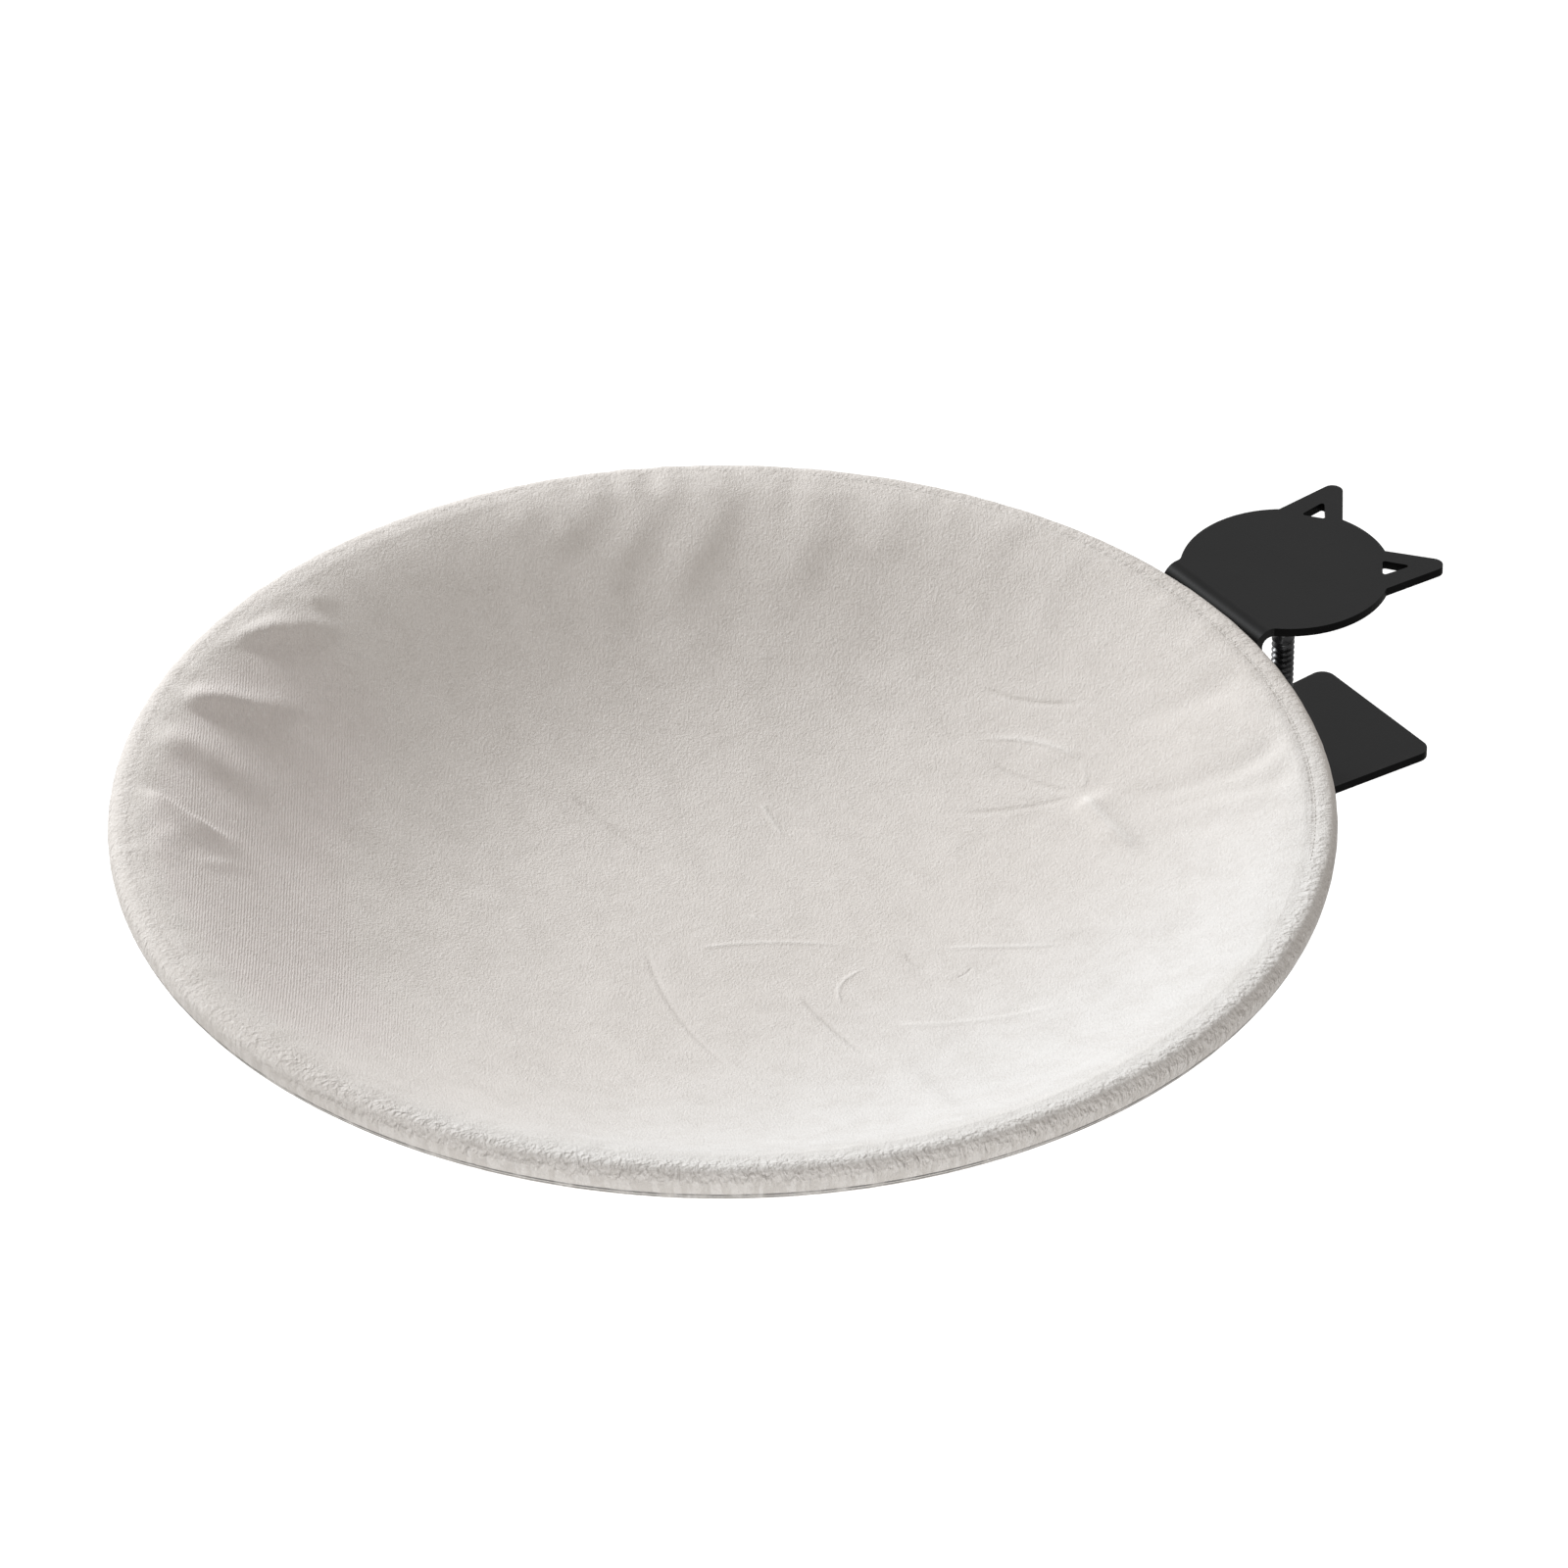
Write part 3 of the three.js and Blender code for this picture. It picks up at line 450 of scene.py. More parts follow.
@dataclass(frozen=True)
class Plush(Finish):
    """Off-white short-pile plush, with painted light and shade: knitted ground, brushed pile, tufts where the rim
    turns away.

    Places are distances on the flat cut from its middle, in metres, where the bar's top is at the ring. Sides are
    directions from the middle in which a feature is strongest, and turns are in degrees.
    """

    warm: Colour = (0.815, 0.775, 0.742)
    rosy: Colour = (0.815, 0.762, 0.737)
    # Painted light: the whiter colour that the lit right side is painted with.
    white: Colour = (0.84, 0.828, 0.817)
    # Dark roots of the pile, also used as painted shade on the rim's outer flank, in creases and between stitches.
    roots_and_shade: Colour = (0.60, 0.562, 0.525)
    # Pale pile tips, also the painted highlight on the lit rim's top and on crease ridges.
    tips_and_highlight: Colour = (0.91, 0.893, 0.872)
    seam: Colour = (0.22, 0.21, 0.20)
    ring: float = 0.2
    depth: float = 0.00055
    tuft_start: float = 0.2054
    tuft_run: float = 0.0022
    tuft_sway: float = 0.006
    seam_lines: Pair = (0.2121, 0.2136)
    channel: float = 0.1991
    channel_middle: float = 78.0
    wales_turn: float = -53.9
    wales_per_metre: float = 330.0
    knit_side: Pair = (-0.55, -0.83)
    hairy_side: Pair = (-0.62, -0.79)
    shaggy_side: Pair = (0.966, -0.259)
    shaded_side: Pair = (0.81, -0.59)

    def build(self, tree: ShaderTree) -> None:
        """Lays colour and relief on the cloth's flat cut.

        Args:
            tree: The node tree of the finish's material.
        """
        patterns = PlushPatterns(tree, self)
        tree.surface(
            Base_Color=self.colour(tree, patterns),
            Roughness=patterns.drift.ramp(0.3, 0.7, 0.9, 0.98),
            Specular_IOR_Level=0.12,
            Sheen_Weight=0.1,
            Sheen_Roughness=0.55,
            Normal=tree.bump(self.relief(patterns), self.depth),
        )

    def colour(self, tree: ShaderTree, on: "PlushPatterns") -> Signal:
        """The colour, from the ground up: each layer covers the ones below it by its share. Some layers paint light
        and shade.

        Args:
            tree: The tree that it is part of.
            on: The patterns on the cloth.

        Returns:
            The colour.
        """
        layers = (
            ((0.5 * on.grain(Grain.PATCHES) + 0.5 * on.bare).ramp(0.3, 0.65), self.rosy),
            # Painted light: whiter towards the lit right side.
            (on.lit, self.white),
            ((on.fine + 0.12 * on.knit - 0.04 * on.near_rim).ramp(0.53, 0.32, 0.0, 0.42), self.roots_and_shade),
            # Pale fibre tips and hairs, with a painted highlight along the lit rim's top.
            (
                (on.fibres * on.pile).ramp(0.28, 0.40, 0.0, 0.5)
                + 0.35 * on.hairs
                + 0.65 * on.lit * on.reach.ramp(0.187, 0.197),
                self.tips_and_highlight,
            ),
            ((0.55 * on.brushed + 0.45 * on.drift).ramp(0.6, 0.36, 0.0, 0.15), self.roots_and_shade),
            # Painted shade in the grooves of the fine creases, and a painted highlight on their ridges.
            (on.creases.ramp(-0.05, -0.7, 0.0, 0.2), self.roots_and_shade),
            (on.creases.ramp(0.05, 0.7, 0.0, 0.3), self.tips_and_highlight),
            # Root colour between the parted tufts where the rim turns away, darkened there as painted shade;
            # painted shade in the dips between stitches and on the shaded outer flank of the rim.
            (on.edge * on.tufts.ramp(0.58, 0.4, 0.05, 0.5) + 0.45 * on.pockets + 0.4 * on.flank, self.roots_and_shade),
            (on.lines, self.seam),
        )
        colour = self.warm
        for share, paint in layers:
            colour = tree.mix(share, colour, paint)
        return colour

    def relief(self, on: "PlushPatterns") -> Signal:
        """The height in units of the depth: a weighted sum of the patterns.

        Args:
            on: The patterns on the cloth.

        Returns:
            The height.
        """
        ground = 1.4 * on.fine + 0.25 * on.knit + 0.12 * on.hairs + 0.4 * on.brushed
        shag = (0.5 * on.near_rim + 1.3 * on.fringe) * on.grain(Grain.SHAG)
        clumps = 2.4 * on.fringe * on.grain(Grain.CLUMPS)
        tufts = on.edge * (1.3 * on.tufts)
        swell = 6.0 * on.grain(Grain.SWELL, on.tree.mapped(on.flat, Scale=(0.4, 1.0, 1.0)))
        return ground + shag + clumps + tufts + swell + on.creases - 1.5 * on.lines - 0.8 * on.pockets


class PlushPatterns:
    """Patterns on the cloth's flat cut, each made when it is first asked for.

    The cut's UV map is in metres. The distance from its middle tells the bowl from the sleeve.
    """

    def __init__(self, tree: ShaderTree, finish: Plush) -> None:
        """Reads the cut, and works out the distance and the direction from its middle.

        Args:
            tree: The node tree of the plush.
            finish: The plush, whose sizes the patterns follow.
        """
        self.tree = tree
        self.finish = finish
        self.flat = tree.node("ShaderNodeUVMap", {"uv_map": CUT_MAP})
        self.reach = tree.vector("LENGTH", {0: self.flat}, "Value")
        self.way = tree.vector("NORMALIZE", {0: self.flat})
        self.way_x, self.way_y = tree.parts(self.way)
        self.creases = 0.0
        for crease in FINE_CREASES:
            self.creases = crease.relief(tree, self.flat, self.creases)

    def grain(self, grain: Grain, where: Optional[Signal] = None) -> Signal:
        """One of the noises, on the flat cut or at another place."""
        return self.tree.noise(self.flat if where is None else where, *grain.value)

    def facing(self, side: Pair) -> Signal:
        """How much a place lies on a side of the middle, from -1 to 1."""
        return side[0] * self.way_x + side[1] * self.way_y

    @cached_property
    def drift(self) -> Signal:
        """Slow change in the lie of the pile."""
        return self.grain(Grain.DRIFT)

    @cached_property
    def brushed(self) -> Signal:
        """Marks of brushing."""
        return self.grain(Grain.BRUSHED)

    @cached_property
    def pile(self) -> Signal:
        """Ends of the pile."""
        return self.grain(Grain.PILE)

    @cached_property
    def along_wales(self) -> Signal:
        """The cut turned so that its second axis runs along the knit's wales."""
        return self.tree.mapped(self.flat, Rotation=(0, 0, math.radians(self.finish.wales_turn)))

    @cached_property
    def fibres(self) -> Signal:
        """Pile combed along the wales."""
        return self.grain(Grain.FIBRES, self.tree.mapped(self.along_wales, Scale=(1.0, 0.3, 1.0)))

    @cached_property
    def fine(self) -> Signal:
        """The pile as a whole."""
        return 0.5 * self.pile + 0.3 * self.fibres + 0.2 * self.drift

    @cached_property
    def bare(self) -> Signal:
        """Where the pile is thin enough for the knit to show, in a band of the bowl's front left."""
        side = self.facing(self.finish.knit_side).ramp(0.6, 1.0)
        return side * self.reach.ramp(0.11, 0.15) * self.reach.ramp(0.2, 0.18)

    @cached_property
    def knit(self) -> Signal:
        """The wales of the knit, where they show."""
        settings = {"bands_direction": "X"}
        values = {"Scale": self.finish.wales_per_metre, "Distortion": 2.5, "Detail": 2.0, "Detail Scale": 2.0}
        wales = self.tree.node("ShaderNodeTexWave", settings, {"Vector": self.along_wales, **values}, output="Fac")
        return wales * self.bare

    @cached_property
    def hairs(self) -> Signal:
        """Loose hairs: the thin bands where a swirled noise passes its mean, on the fluffy front left."""
        bands = 1.0 - abs(self.grain(Grain.HAIRS) - 0.5).ramp(0.002, 0.014)
        fluffy = self.facing(self.finish.hairy_side).ramp(0.45, 0.9) * self.reach.ramp(0.1, 0.16)
        return bands * self.drift.ramp(0.42, 0.6) * fluffy

    @cached_property
    def round_rim(self) -> Signal:
        """A place on a cylinder of the ring's radius, on which patterns are stretched outwards."""
        rim = self.tree.vector("SCALE", {0: self.way, "Scale": self.finish.ring})
        outwards = self.tree.node("ShaderNodeCombineXYZ", None, {2: 0.3 * self.reach})
        return self.tree.vector("ADD", {0: rim, 1: outwards})

    @cached_property
    def tufts(self) -> Signal:
        """Tufts that stand side by side along the rim."""
        return self.grain(Grain.TUFTS, self.round_rim)

    @cached_property
    def edge(self) -> Signal:
        """Where the rim turns away and its tufts part, with a ragged start."""
        start = self.finish.tuft_start
        ragged = self.reach + self.finish.tuft_sway * (self.tufts - 0.5)
        return ragged.ramp(start, start + self.finish.tuft_run)

    @cached_property
    def near_rim(self) -> Signal:
        """The bowl's edge, up to the bar's top."""
        return self.reach.ramp(0.18, 0.199)

    @cached_property
    def fringe(self) -> Signal:
        """The shaggy crest of the rim, strongest on the front right."""
        crest = self.reach.ramp(0.1965, 0.2015) * self.reach.ramp(0.2105, 0.207)
        return crest * self.facing(self.finish.shaggy_side).ramp(0.2, 0.7, 0.3, 1.0)

    @cached_property
    def lines(self) -> Signal:
        """Two dark lines of seam low on the rim's flank, broken by the pile."""
        lines = sum(1.0 - abs(self.reach - at).ramp(0.0002, 0.0005) for at in self.finish.seam_lines)
        return lines * self.grain(Grain.SEAM_GAPS, self.round_rim).ramp(0.3, 0.6, 0.3, 0.95)

    @cached_property
    def pockets(self) -> Signal:
        """Painted shade in the dips between the stitches of the channel's seam."""
        middle = math.radians(self.finish.channel_middle)
        sewn = self.facing((math.cos(middle), math.sin(middle))).ramp(0.82, 0.92)
        sewn = sewn * abs(self.reach - self.finish.channel).ramp(0.0012, 0.0004)
        return sewn * self.grain(Grain.POCKETS, self.round_rim).ramp(0.42, 0.62, 0.1, 0.6)

    @cached_property
    def lit(self) -> Signal:
        """Painted light: the pile is painted whiter towards the lit right, up to the top of the rim."""
        return (self.way_x * self.reach).ramp(0.03, 0.17) * self.reach.ramp(0.2055, 0.2015, 0.15, 1.0)

    @cached_property
    def flank(self) -> Signal:
        """Painted shade on the rim's outer flank on the front right, which faces away from the key lamp."""
        return self.reach.ramp(0.2035, 0.2085) * self.facing(self.finish.shaded_side).ramp(-0.3, 0.4)


@dataclass(frozen=True)
class Thread(Finish):
    """Matching sewing thread with its twist."""

    colour: Colour = (0.84, 0.82, 0.79)

    def build(self, tree: ShaderTree) -> None:
        """Pale thread, a little darker between its strands.

        Args:
            tree: The node tree of the finish's material.
        """
        where = tree.place()
        strands = tree.noise(where, 2600.0, 2.0)
        tree.surface(
            Base_Color=tree.mix(strands.ramp(0.35, 0.65), tuple(0.85 * c for c in self.colour), self.colour),
            Roughness=strands.ramp(0.2, 0.8, 0.7, 0.85),
            Normal=tree.bump(strands, 0.0001),
        )


@dataclass(frozen=True)
class PaleFloor(Finish):
    """Plain floor, seen white and open from below, that keeps the shadow that falls on it."""

    paint: Colour = (0.8, 0.8, 0.8)
    lift: float = 0.42

    def build(self, tree: ShaderTree) -> None:
        """Diffuse white, lifted to white where the camera sees it, and clear from underneath.

        Args:
            tree: The node tree of the finish's material.
        """
        seen = tree.node("ShaderNodeLightPath", output="Is Camera Ray")
        paint = tree.node("ShaderNodeBsdfDiffuse", None, {"Color": (*self.paint, 1.0)})
        glow = tree.node("ShaderNodeEmission", None, {"Color": (1, 1, 1, 1), "Strength": seen * self.lift})
        lit = tree.node("ShaderNodeAddShader", None, {0: paint, 1: glow})
        clear = tree.node("ShaderNodeBsdfTransparent", None, {})
        below = tree.node("ShaderNodeNewGeometry", output="Backfacing")
        tree.output(tree.node("ShaderNodeMixShader", None, {0: below, 1: lit, 2: clear}))


COAT = PowderCoat("black_powder_coat", Slot.COAT)
RUBBER = Rubber("black_rubber", Slot.RUBBER)
BLACK_STEEL = Steel("black_oxide_steel", Slot.DARK_STEEL)
ZINC = Steel("zinc_plated_steel", Slot.ZINC, (0.36, 0.37, 0.375), (0.5, 0.505, 0.5), 0.3, 1.0)
PLASTIC = Plastic("black_knob_plastic", Slot.KNOB)
PLUSH = Plush("cream_plush", Slot.PLUSH)
THREAD = Thread("cream_thread", Slot.PLUSH)
FLOOR = PaleFloor("pale_floor")


# Mesh building.


def put(name: str, data: bpy.types.ID) -> bpy.types.Object:
    """An object that holds the data, put in the scene."""
    thing = bpy.data.objects.new(name, data)
    bpy.context.scene.collection.objects.link(thing)
    return thing


def new_piece(
    mesh: bpy.types.Mesh, finish: Finish, body: Body, node: Optional[str] = None
) -> bpy.types.Object:
    """Puts a finished mesh in the scene as a piece with the mesh's name.

    Args:
        mesh: Its mesh, in the part's frame.
        finish: What it is made of.
        body: What it moves with.
        node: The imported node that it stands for, if it does.

    Returns:
        The piece.
    """
    piece = put(mesh.name, mesh)
    mesh.materials.append(finish.make())
    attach(piece, body.value)
    if node:
        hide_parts(node)
    return piece


def modify(piece: bpy.types.Object, name: str, kind: str, **settings: object) -> bpy.types.Modifier:
    """Adds a modifier with the given settings.

    Args:
        piece: The object that gets the modifier.
        name: The modifier's name.
        kind: Blender's word for its kind.
        settings: Its values by name.

    Returns:
        The modifier.
    """
    modifier = piece.modifiers.new(name, kind)
    for key, value in settings.items():
        setattr(modifier, key, value)
    return modifier


def shade_smooth(mesh: bpy.types.Mesh) -> None:
    """Shades all faces smooth."""
    mesh.polygons.foreach_set("use_smooth", np.ones(len(mesh.polygons), bool))
    mesh.update()


def of_faces(mesh: bpy.types.Mesh, what: str) -> np.ndarray:
    """The faces' normals or centres, an array of faces by three."""
    values = np.empty(len(mesh.polygons) * 3)
    mesh.polygons.foreach_get(what, values)
    return values.reshape(-1, 3)


def grid_mesh(
    name: str,
    points: np.ndarray,
    around: bool = True,
    closed: bool = False,
    poles: Sequence[Optional[Sequence[float]]] = (None, None),
) -> bpy.types.Mesh:
    """A mesh over a grid of points, whose rows run along the shape and whose columns run round it.

    Each face joins the points (row, column), (row, column + 1), (row + 1, column + 1), (row + 1, column). Faces
    look to the side from which the rows go away and the columns go to the right.

    Args:
        name: The mesh's name.
        points: An array of rows by columns by three.
        around: Whether the last column joins the first.
        closed: Whether the last row joins the first.
        poles: A point that closes the first row, and one that closes the last row.

    Returns:
        The mesh, shaded smooth.
    """
    rows, columns = points.shape[:2]
    index = np.arange(rows * columns).reshape(rows, columns)
    corners = [np.roll(index, shift, axis=(0, 1)) for shift in ((0, 0), (0, -1), (-1, -1), (-1, 0))]
    last_row, last_column = None if closed else -1, None if around else -1
    faces = np.stack(corners, axis=-1)[:last_row, :last_column].reshape(-1, 4).tolist()
    vertices = [points.reshape(-1, 3)]
    count = rows * columns
    # The fan at the first row goes the other way round, so that it looks outwards too.
    for pole, ring, order in zip(poles, (index[0], index[-1]), (-1, 1)):
        if pole is None:
            continue
        vertices.append(np.array([pole], float))
        fan = [ring, np.roll(ring, -1)][::order] + [np.full(columns, count)]
        faces += np.stack(fan, axis=-1).tolist()
        count += 1
    mesh = bpy.data.meshes.new(name)
    mesh.from_pydata(np.concatenate(vertices), [], faces)
    shade_smooth(mesh)
    return mesh


def turns(columns: int) -> np.ndarray:
    """Angles of even steps round a circle, in radians."""
    return 2 * np.pi * np.arange(columns) / columns


def turned_points(profile: np.ndarray, angle: np.ndarray, spin: Union[float, np.ndarray] = 0.0) -> np.ndarray:
    """Carries a profile round Z: each point is (radius cos a, radius sin a, height) for angle a.

    Args:
        profile: An array of rows by two, radius and height.
        angle: The columns' angles.
        spin: What is added to each radius, a number or an array of rows by columns.

    Returns:
        An array of rows by columns by three.
    """
    radius = profile[:, :1] + np.zeros(len(angle)) + spin
    height = np.broadcast_to(profile[:, 1:2], radius.shape)
    return np.stack([radius * np.cos(angle), radius * np.sin(angle), height], axis=-1)


def arc(centre: Sequence[float], radius: float, start: float, stop: float, steps: int) -> np.ndarray:
    """Points of an arc in the plane of a profile, from one angle to another in degrees."""
    angle = np.radians(np.linspace(start, stop, steps + 1))
    return np.stack([centre[0] + radius * np.cos(angle), centre[1] + radius * np.sin(angle)], axis=-1)


def climb(value: np.ndarray, start: float, run: float) -> np.ndarray:
    """Rises evenly from 0 at start to 1 a run further on, and holds on both sides."""
    return np.clip((value - start) / run, 0, 1)


def eased(value: np.ndarray) -> np.ndarray:
    """A climb from 0 to 1 with soft ends: v*v (3 - 2 v)."""
    return value * value * (3 - 2 * value)


def bell(distance: np.ndarray, width: Union[float, np.ndarray]) -> np.ndarray:
    """A bell of height 1, which falls to 1/e at the width."""
    return np.exp(-((distance / width) ** 2))


def spline_weights(t: np.ndarray) -> np.ndarray:
    """Catmull-Rom weights of the four points round a place t of the way from the second to the third."""
    return np.stack([-t + 2 * t**2 - t**3, 2 - 5 * t**2 + 3 * t**3, t + 4 * t**2 - 3 * t**3, t**3 - t**2]) / 2


def turned_piece(
    name: str, profile: np.ndarray, finish: Finish, body: Body, node: str, columns: int = 96, sharp: float = 32.0
) -> bpy.types.Object:
    """A round piece whose outline starts and ends on the axis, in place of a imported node.

    Args:
        name: The piece's name.
        profile: Radius and height of each outline point, from the bottom outwards and up to the top.
        finish: What it is made of.
        body: What it moves with.
        node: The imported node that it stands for.
        columns: How many steps go round.
        sharp: The angle in degrees from which an edge is sharp.

    Returns:
        The piece.
    """
    poles = ((0, 0, profile[0, 1]), (0, 0, profile[-1, 1]))
    mesh = grid_mesh(name, turned_points(profile[1:-1], turns(columns)), poles=poles)
    mesh.set_sharp_from_angle(angle=math.radians(sharp))
    return new_piece(mesh, finish, body, node)


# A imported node's points closer than this are one, and its faces within this angle are one plane.
SAME_POINT = 0.002 * MM
SAME_PLANE = math.radians(0.5)
# Edges sharper than this are eased.
HARD_EDGE = math.radians(35)
# Upright faces further into the desk than this from a piece's nearest one are cut edges, with a thin coat.
CUT_ROOM = 8 * MM
UPRIGHT = 0.02


def eased_copy(name: str, node: str, finish: Finish, body: Body, ease: float) -> bpy.types.Object:
    """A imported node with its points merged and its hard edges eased, in place of that node.

    Args:
        name: The piece's name.
        node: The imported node.
        finish: What it is made of.
        body: What it moves with.
        ease: Width of the eased edges.

    Returns:
        The piece.
    """
    mesh = bpy.data.meshes.new(name)
    shape = bmesh.new()
    shape.from_mesh(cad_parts[node].data)
    bmesh.ops.remove_doubles(shape, verts=shape.verts, dist=SAME_POINT)
    bmesh.ops.dissolve_limit(
        shape, angle_limit=SAME_PLANE, verts=shape.verts, edges=shape.edges, use_dissolve_boundaries=False
    )
    shape.to_mesh(mesh)
    shape.free()
    mesh.materials.clear()
    shade_smooth(mesh)
    along = of_faces(mesh, "center")[:, 1]
    cut = (np.abs(of_faces(mesh, "normal")[:, 2]) < UPRIGHT) & (along > along.min() + CUT_ROOM)
    mesh.attributes.new(CUT_EDGE, "FLOAT", "FACE").data.foreach_set("value", cut.astype(np.float32))
    piece = new_piece(mesh, finish, body, node)
    modify(
        piece, "eased_edges", "BEVEL",
        limit_method="ANGLE", angle_limit=HARD_EDGE, width=ease, segments=3, use_clamp_overlap=True,
    )
    modify(piece, "flat_faces", "WEIGHTED_NORMAL", mode="FACE_AREA", weight=100)
    return piece


# Hammock.


@dataclass(frozen=True)
class HoopPlace:
    """Where the hoop stands in the frame."""

    centre: np.ndarray
    radius: float
    bar: float

    @classmethod
    def of_frame(cls) -> "HoopPlace":
        """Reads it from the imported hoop's box: half its height is the bar's radius."""
        low, high = (np.array(corner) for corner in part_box("support_hoop"))
        bar = (high[2] - low[2]) / 2
        return cls((low + high) / 2, (high[0] - low[0]) / 2 - bar, bar)


@dataclass
class HoopBar:
    """Round steel bar bent to a ring."""

    place: HoopPlace
    columns: int = 256
    rows: int = 28

    def build(self) -> bpy.types.Object:
        """A ring whose section is a circle: angle b round the bar gives radius R + r cos b and height r sin b."""
        section = arc((self.place.radius, 0), self.place.bar, -90, 270, self.rows)[:-1]
        points = turned_points(section, turns(self.columns)) + self.place.centre
        return new_piece(grid_mesh("hoop_bar", points, closed=True), COAT, Body.FIXED, "support_hoop")


@dataclass(frozen=True)
class Fold:
    """A ridge or valley of the cloth.

    Attributes:
        path: Its points, each an angle in degrees and a share of the bowl's radius.
        height: How far it stands up in millimetres, below 0 for a valley.
        left: The width of its bell on the left of its way, in millimetres.
        right: The same on the right.
        rise: Share of its length over which it rises from its start.
        fade: Share of its length over which it fades to its end.
        taper: Share of its width that is gone at its end.
        rim_room: Share of the bowl's radius over which it fades to the rim.
    """

    path: tuple[Pair, ...]
    height: float
    left: float
    right: float
    rise: float
    fade: float
    taper: float = 0.4
    rim_room: float = 0.05

    def line(self, steps: int = 28) -> np.ndarray:
        """The path as points on the flat bowl of radius 1, rounded by a Catmull-Rom curve.

        Args:
            steps: How many points the path gets.

        Returns:
            The points, two numbers each.
        """
        turn = np.radians([p[0] for p in self.path])
        share = np.array([p[1] for p in self.path])
        knots = np.stack([share * np.cos(turn), share * np.sin(turn)], axis=-1)
        knots = np.concatenate([2 * knots[:1] - knots[1:2], knots, 2 * knots[-1:] - knots[-2:-1]])
        along = np.linspace(0, len(self.path) - 1 - 1e-9, steps)
        before = along.astype(int)
        weights = spline_weights((along - before)[:, None])
        return sum(weights[k] * knots[before + k] for k in range(4))

    def lift(self, flat: np.ndarray, radius: float) -> np.ndarray:
        """How far the fold lifts each point of the bowl.

        The lift is the height times a bell across the path, wider on one side than on the other and narrower
        towards the path's end, times a ramp up from the path's start, a fade to its end and a fade to the rim.

        Args:
            flat: Points on the flat bowl of radius 1, an array of any shape by two.
            radius: The bowl's radius.

        Returns:
            The lift in metres, an array of that shape.
        """
        points = flat.reshape(-1, 2)
        line = self.line()
        start, step = line[:-1], np.diff(line, axis=0)
        offset = points[:, None] - start
        along = np.clip((offset * step).sum(-1) / (step**2).sum(-1), 0, 1)
        away = offset - along[..., None] * step
        distance = np.linalg.norm(away, axis=-1)
        nearest = distance.argmin(axis=1)
        pick = np.arange(len(points))
        side = step[nearest, 0] * away[pick, nearest, 1] - step[nearest, 1] * away[pick, nearest, 0]
        travelled = (nearest + along[pick, nearest]) / len(step)
        width = np.where(side > 0, self.left * MM, self.right * MM) * (1 - self.taper * travelled)
        ends = eased(climb(travelled, 0, self.rise)) * eased(climb(1 - travelled, 0, self.fade))
        rim = climb(1 - np.linalg.norm(points, axis=1), 0, self.rim_room)
        lift = self.height * MM * ends * rim * (2 - rim) * bell(distance[pick, nearest] * radius, width)
        return lift.reshape(flat.shape[:-1])


# Loose cloth hangs in leaf-shaped pleats on the bowl's far left.
LEFT_PLEATS = (
    Fold(((193.7, 1.0), (192.5, 0.951), (190.0, 0.918)), 1.6, 6, 4, 0.5, 0.5),
    Fold(
        (
            (206.9, 1.02), (205.4, 1.0), (203.4, 0.978), (200.7, 0.95),
            (197.6, 0.924), (194.1, 0.894), (191.3, 0.848),
        ),
        3.52, 9, 3.4, 0.5, 0.45,
    ),
    Fold(
        (
            (216.5, 1.01), (215.4, 0.989), (214.9, 0.96), (213.5, 0.929),
            (212.1, 0.897), (210.1, 0.865), (207.0, 0.83), (204.4, 0.765),
        ),
        4.32, 9.5, 3.6, 0.4, 0.55,
    ),
    Fold(
        (
            (223.8, 1.03), (222.7, 1.0), (222.4, 0.967), (222.1, 0.923),
            (222.9, 0.886), (223.8, 0.844), (225.6, 0.807), (229.0, 0.779),
        ),
        3.68, 10, 8, 0.4, 0.5,
    ),
    Fold(
        (
            (231.7, 1.03), (232.2, 1.0), (232.6, 0.967), (233.7, 0.928),
            (234.8, 0.889), (235.3, 0.851), (233.8, 0.816),
        ),
        3.36, 3.6, 12, 0.4, 0.35,
    ),
    Fold(((243.4, 1.04), (239.2, 0.957), (235.1, 0.89)), 1.28, 5, 10, 0.5, 0.5),
)
# Soft streaks stand along its back.
BACK_STREAKS = (
    Fold(((162.2, 1.0), (165.5, 0.948), (169.8, 0.914)), 0.86, 9.2, 9.2, 0.16, 0.5),
    Fold(((155.7, 1.0), (158.8, 0.937), (162.5, 0.894), (166.6, 0.856)), 1.29, 8, 10.3, 0.16, 0.5),
    Fold(((150.1, 1.0), (152.9, 0.902), (156.4, 0.834), (161.8, 0.736)), 1.43, 8, 11.5, 0.16, 0.6),
    Fold(((142.0, 1.0), (145.6, 0.878), (148.8, 0.799), (154.2, 0.695)), 1.51, 8, 11.5, 0.16, 0.6),
    Fold(((139.0, 1.0), (138.5, 0.948), (139.0, 0.907)), 0.72, 5.8, 6.9, 0.16, 0.5),
    Fold(((133.6, 1.0), (133.1, 0.905), (134.2, 0.83), (136.0, 0.755)), 1.43, 10.3, 10.3, 0.16, 0.6),
    Fold(((124.5, 1.0), (125.1, 0.905), (125.4, 0.849)), 0.72, 10.3, 10.3, 0.16, 0.5),
    Fold(((115.7, 0.99), (112.6, 0.862), (110.8, 0.779)), 0.51, 10.3, 5.8, 0.16, 0.5),
    Fold(((105.9, 0.98), (104.2, 0.879), (102.2, 0.797)), 0.43, 8, 4.6, 0.16, 0.5),
)
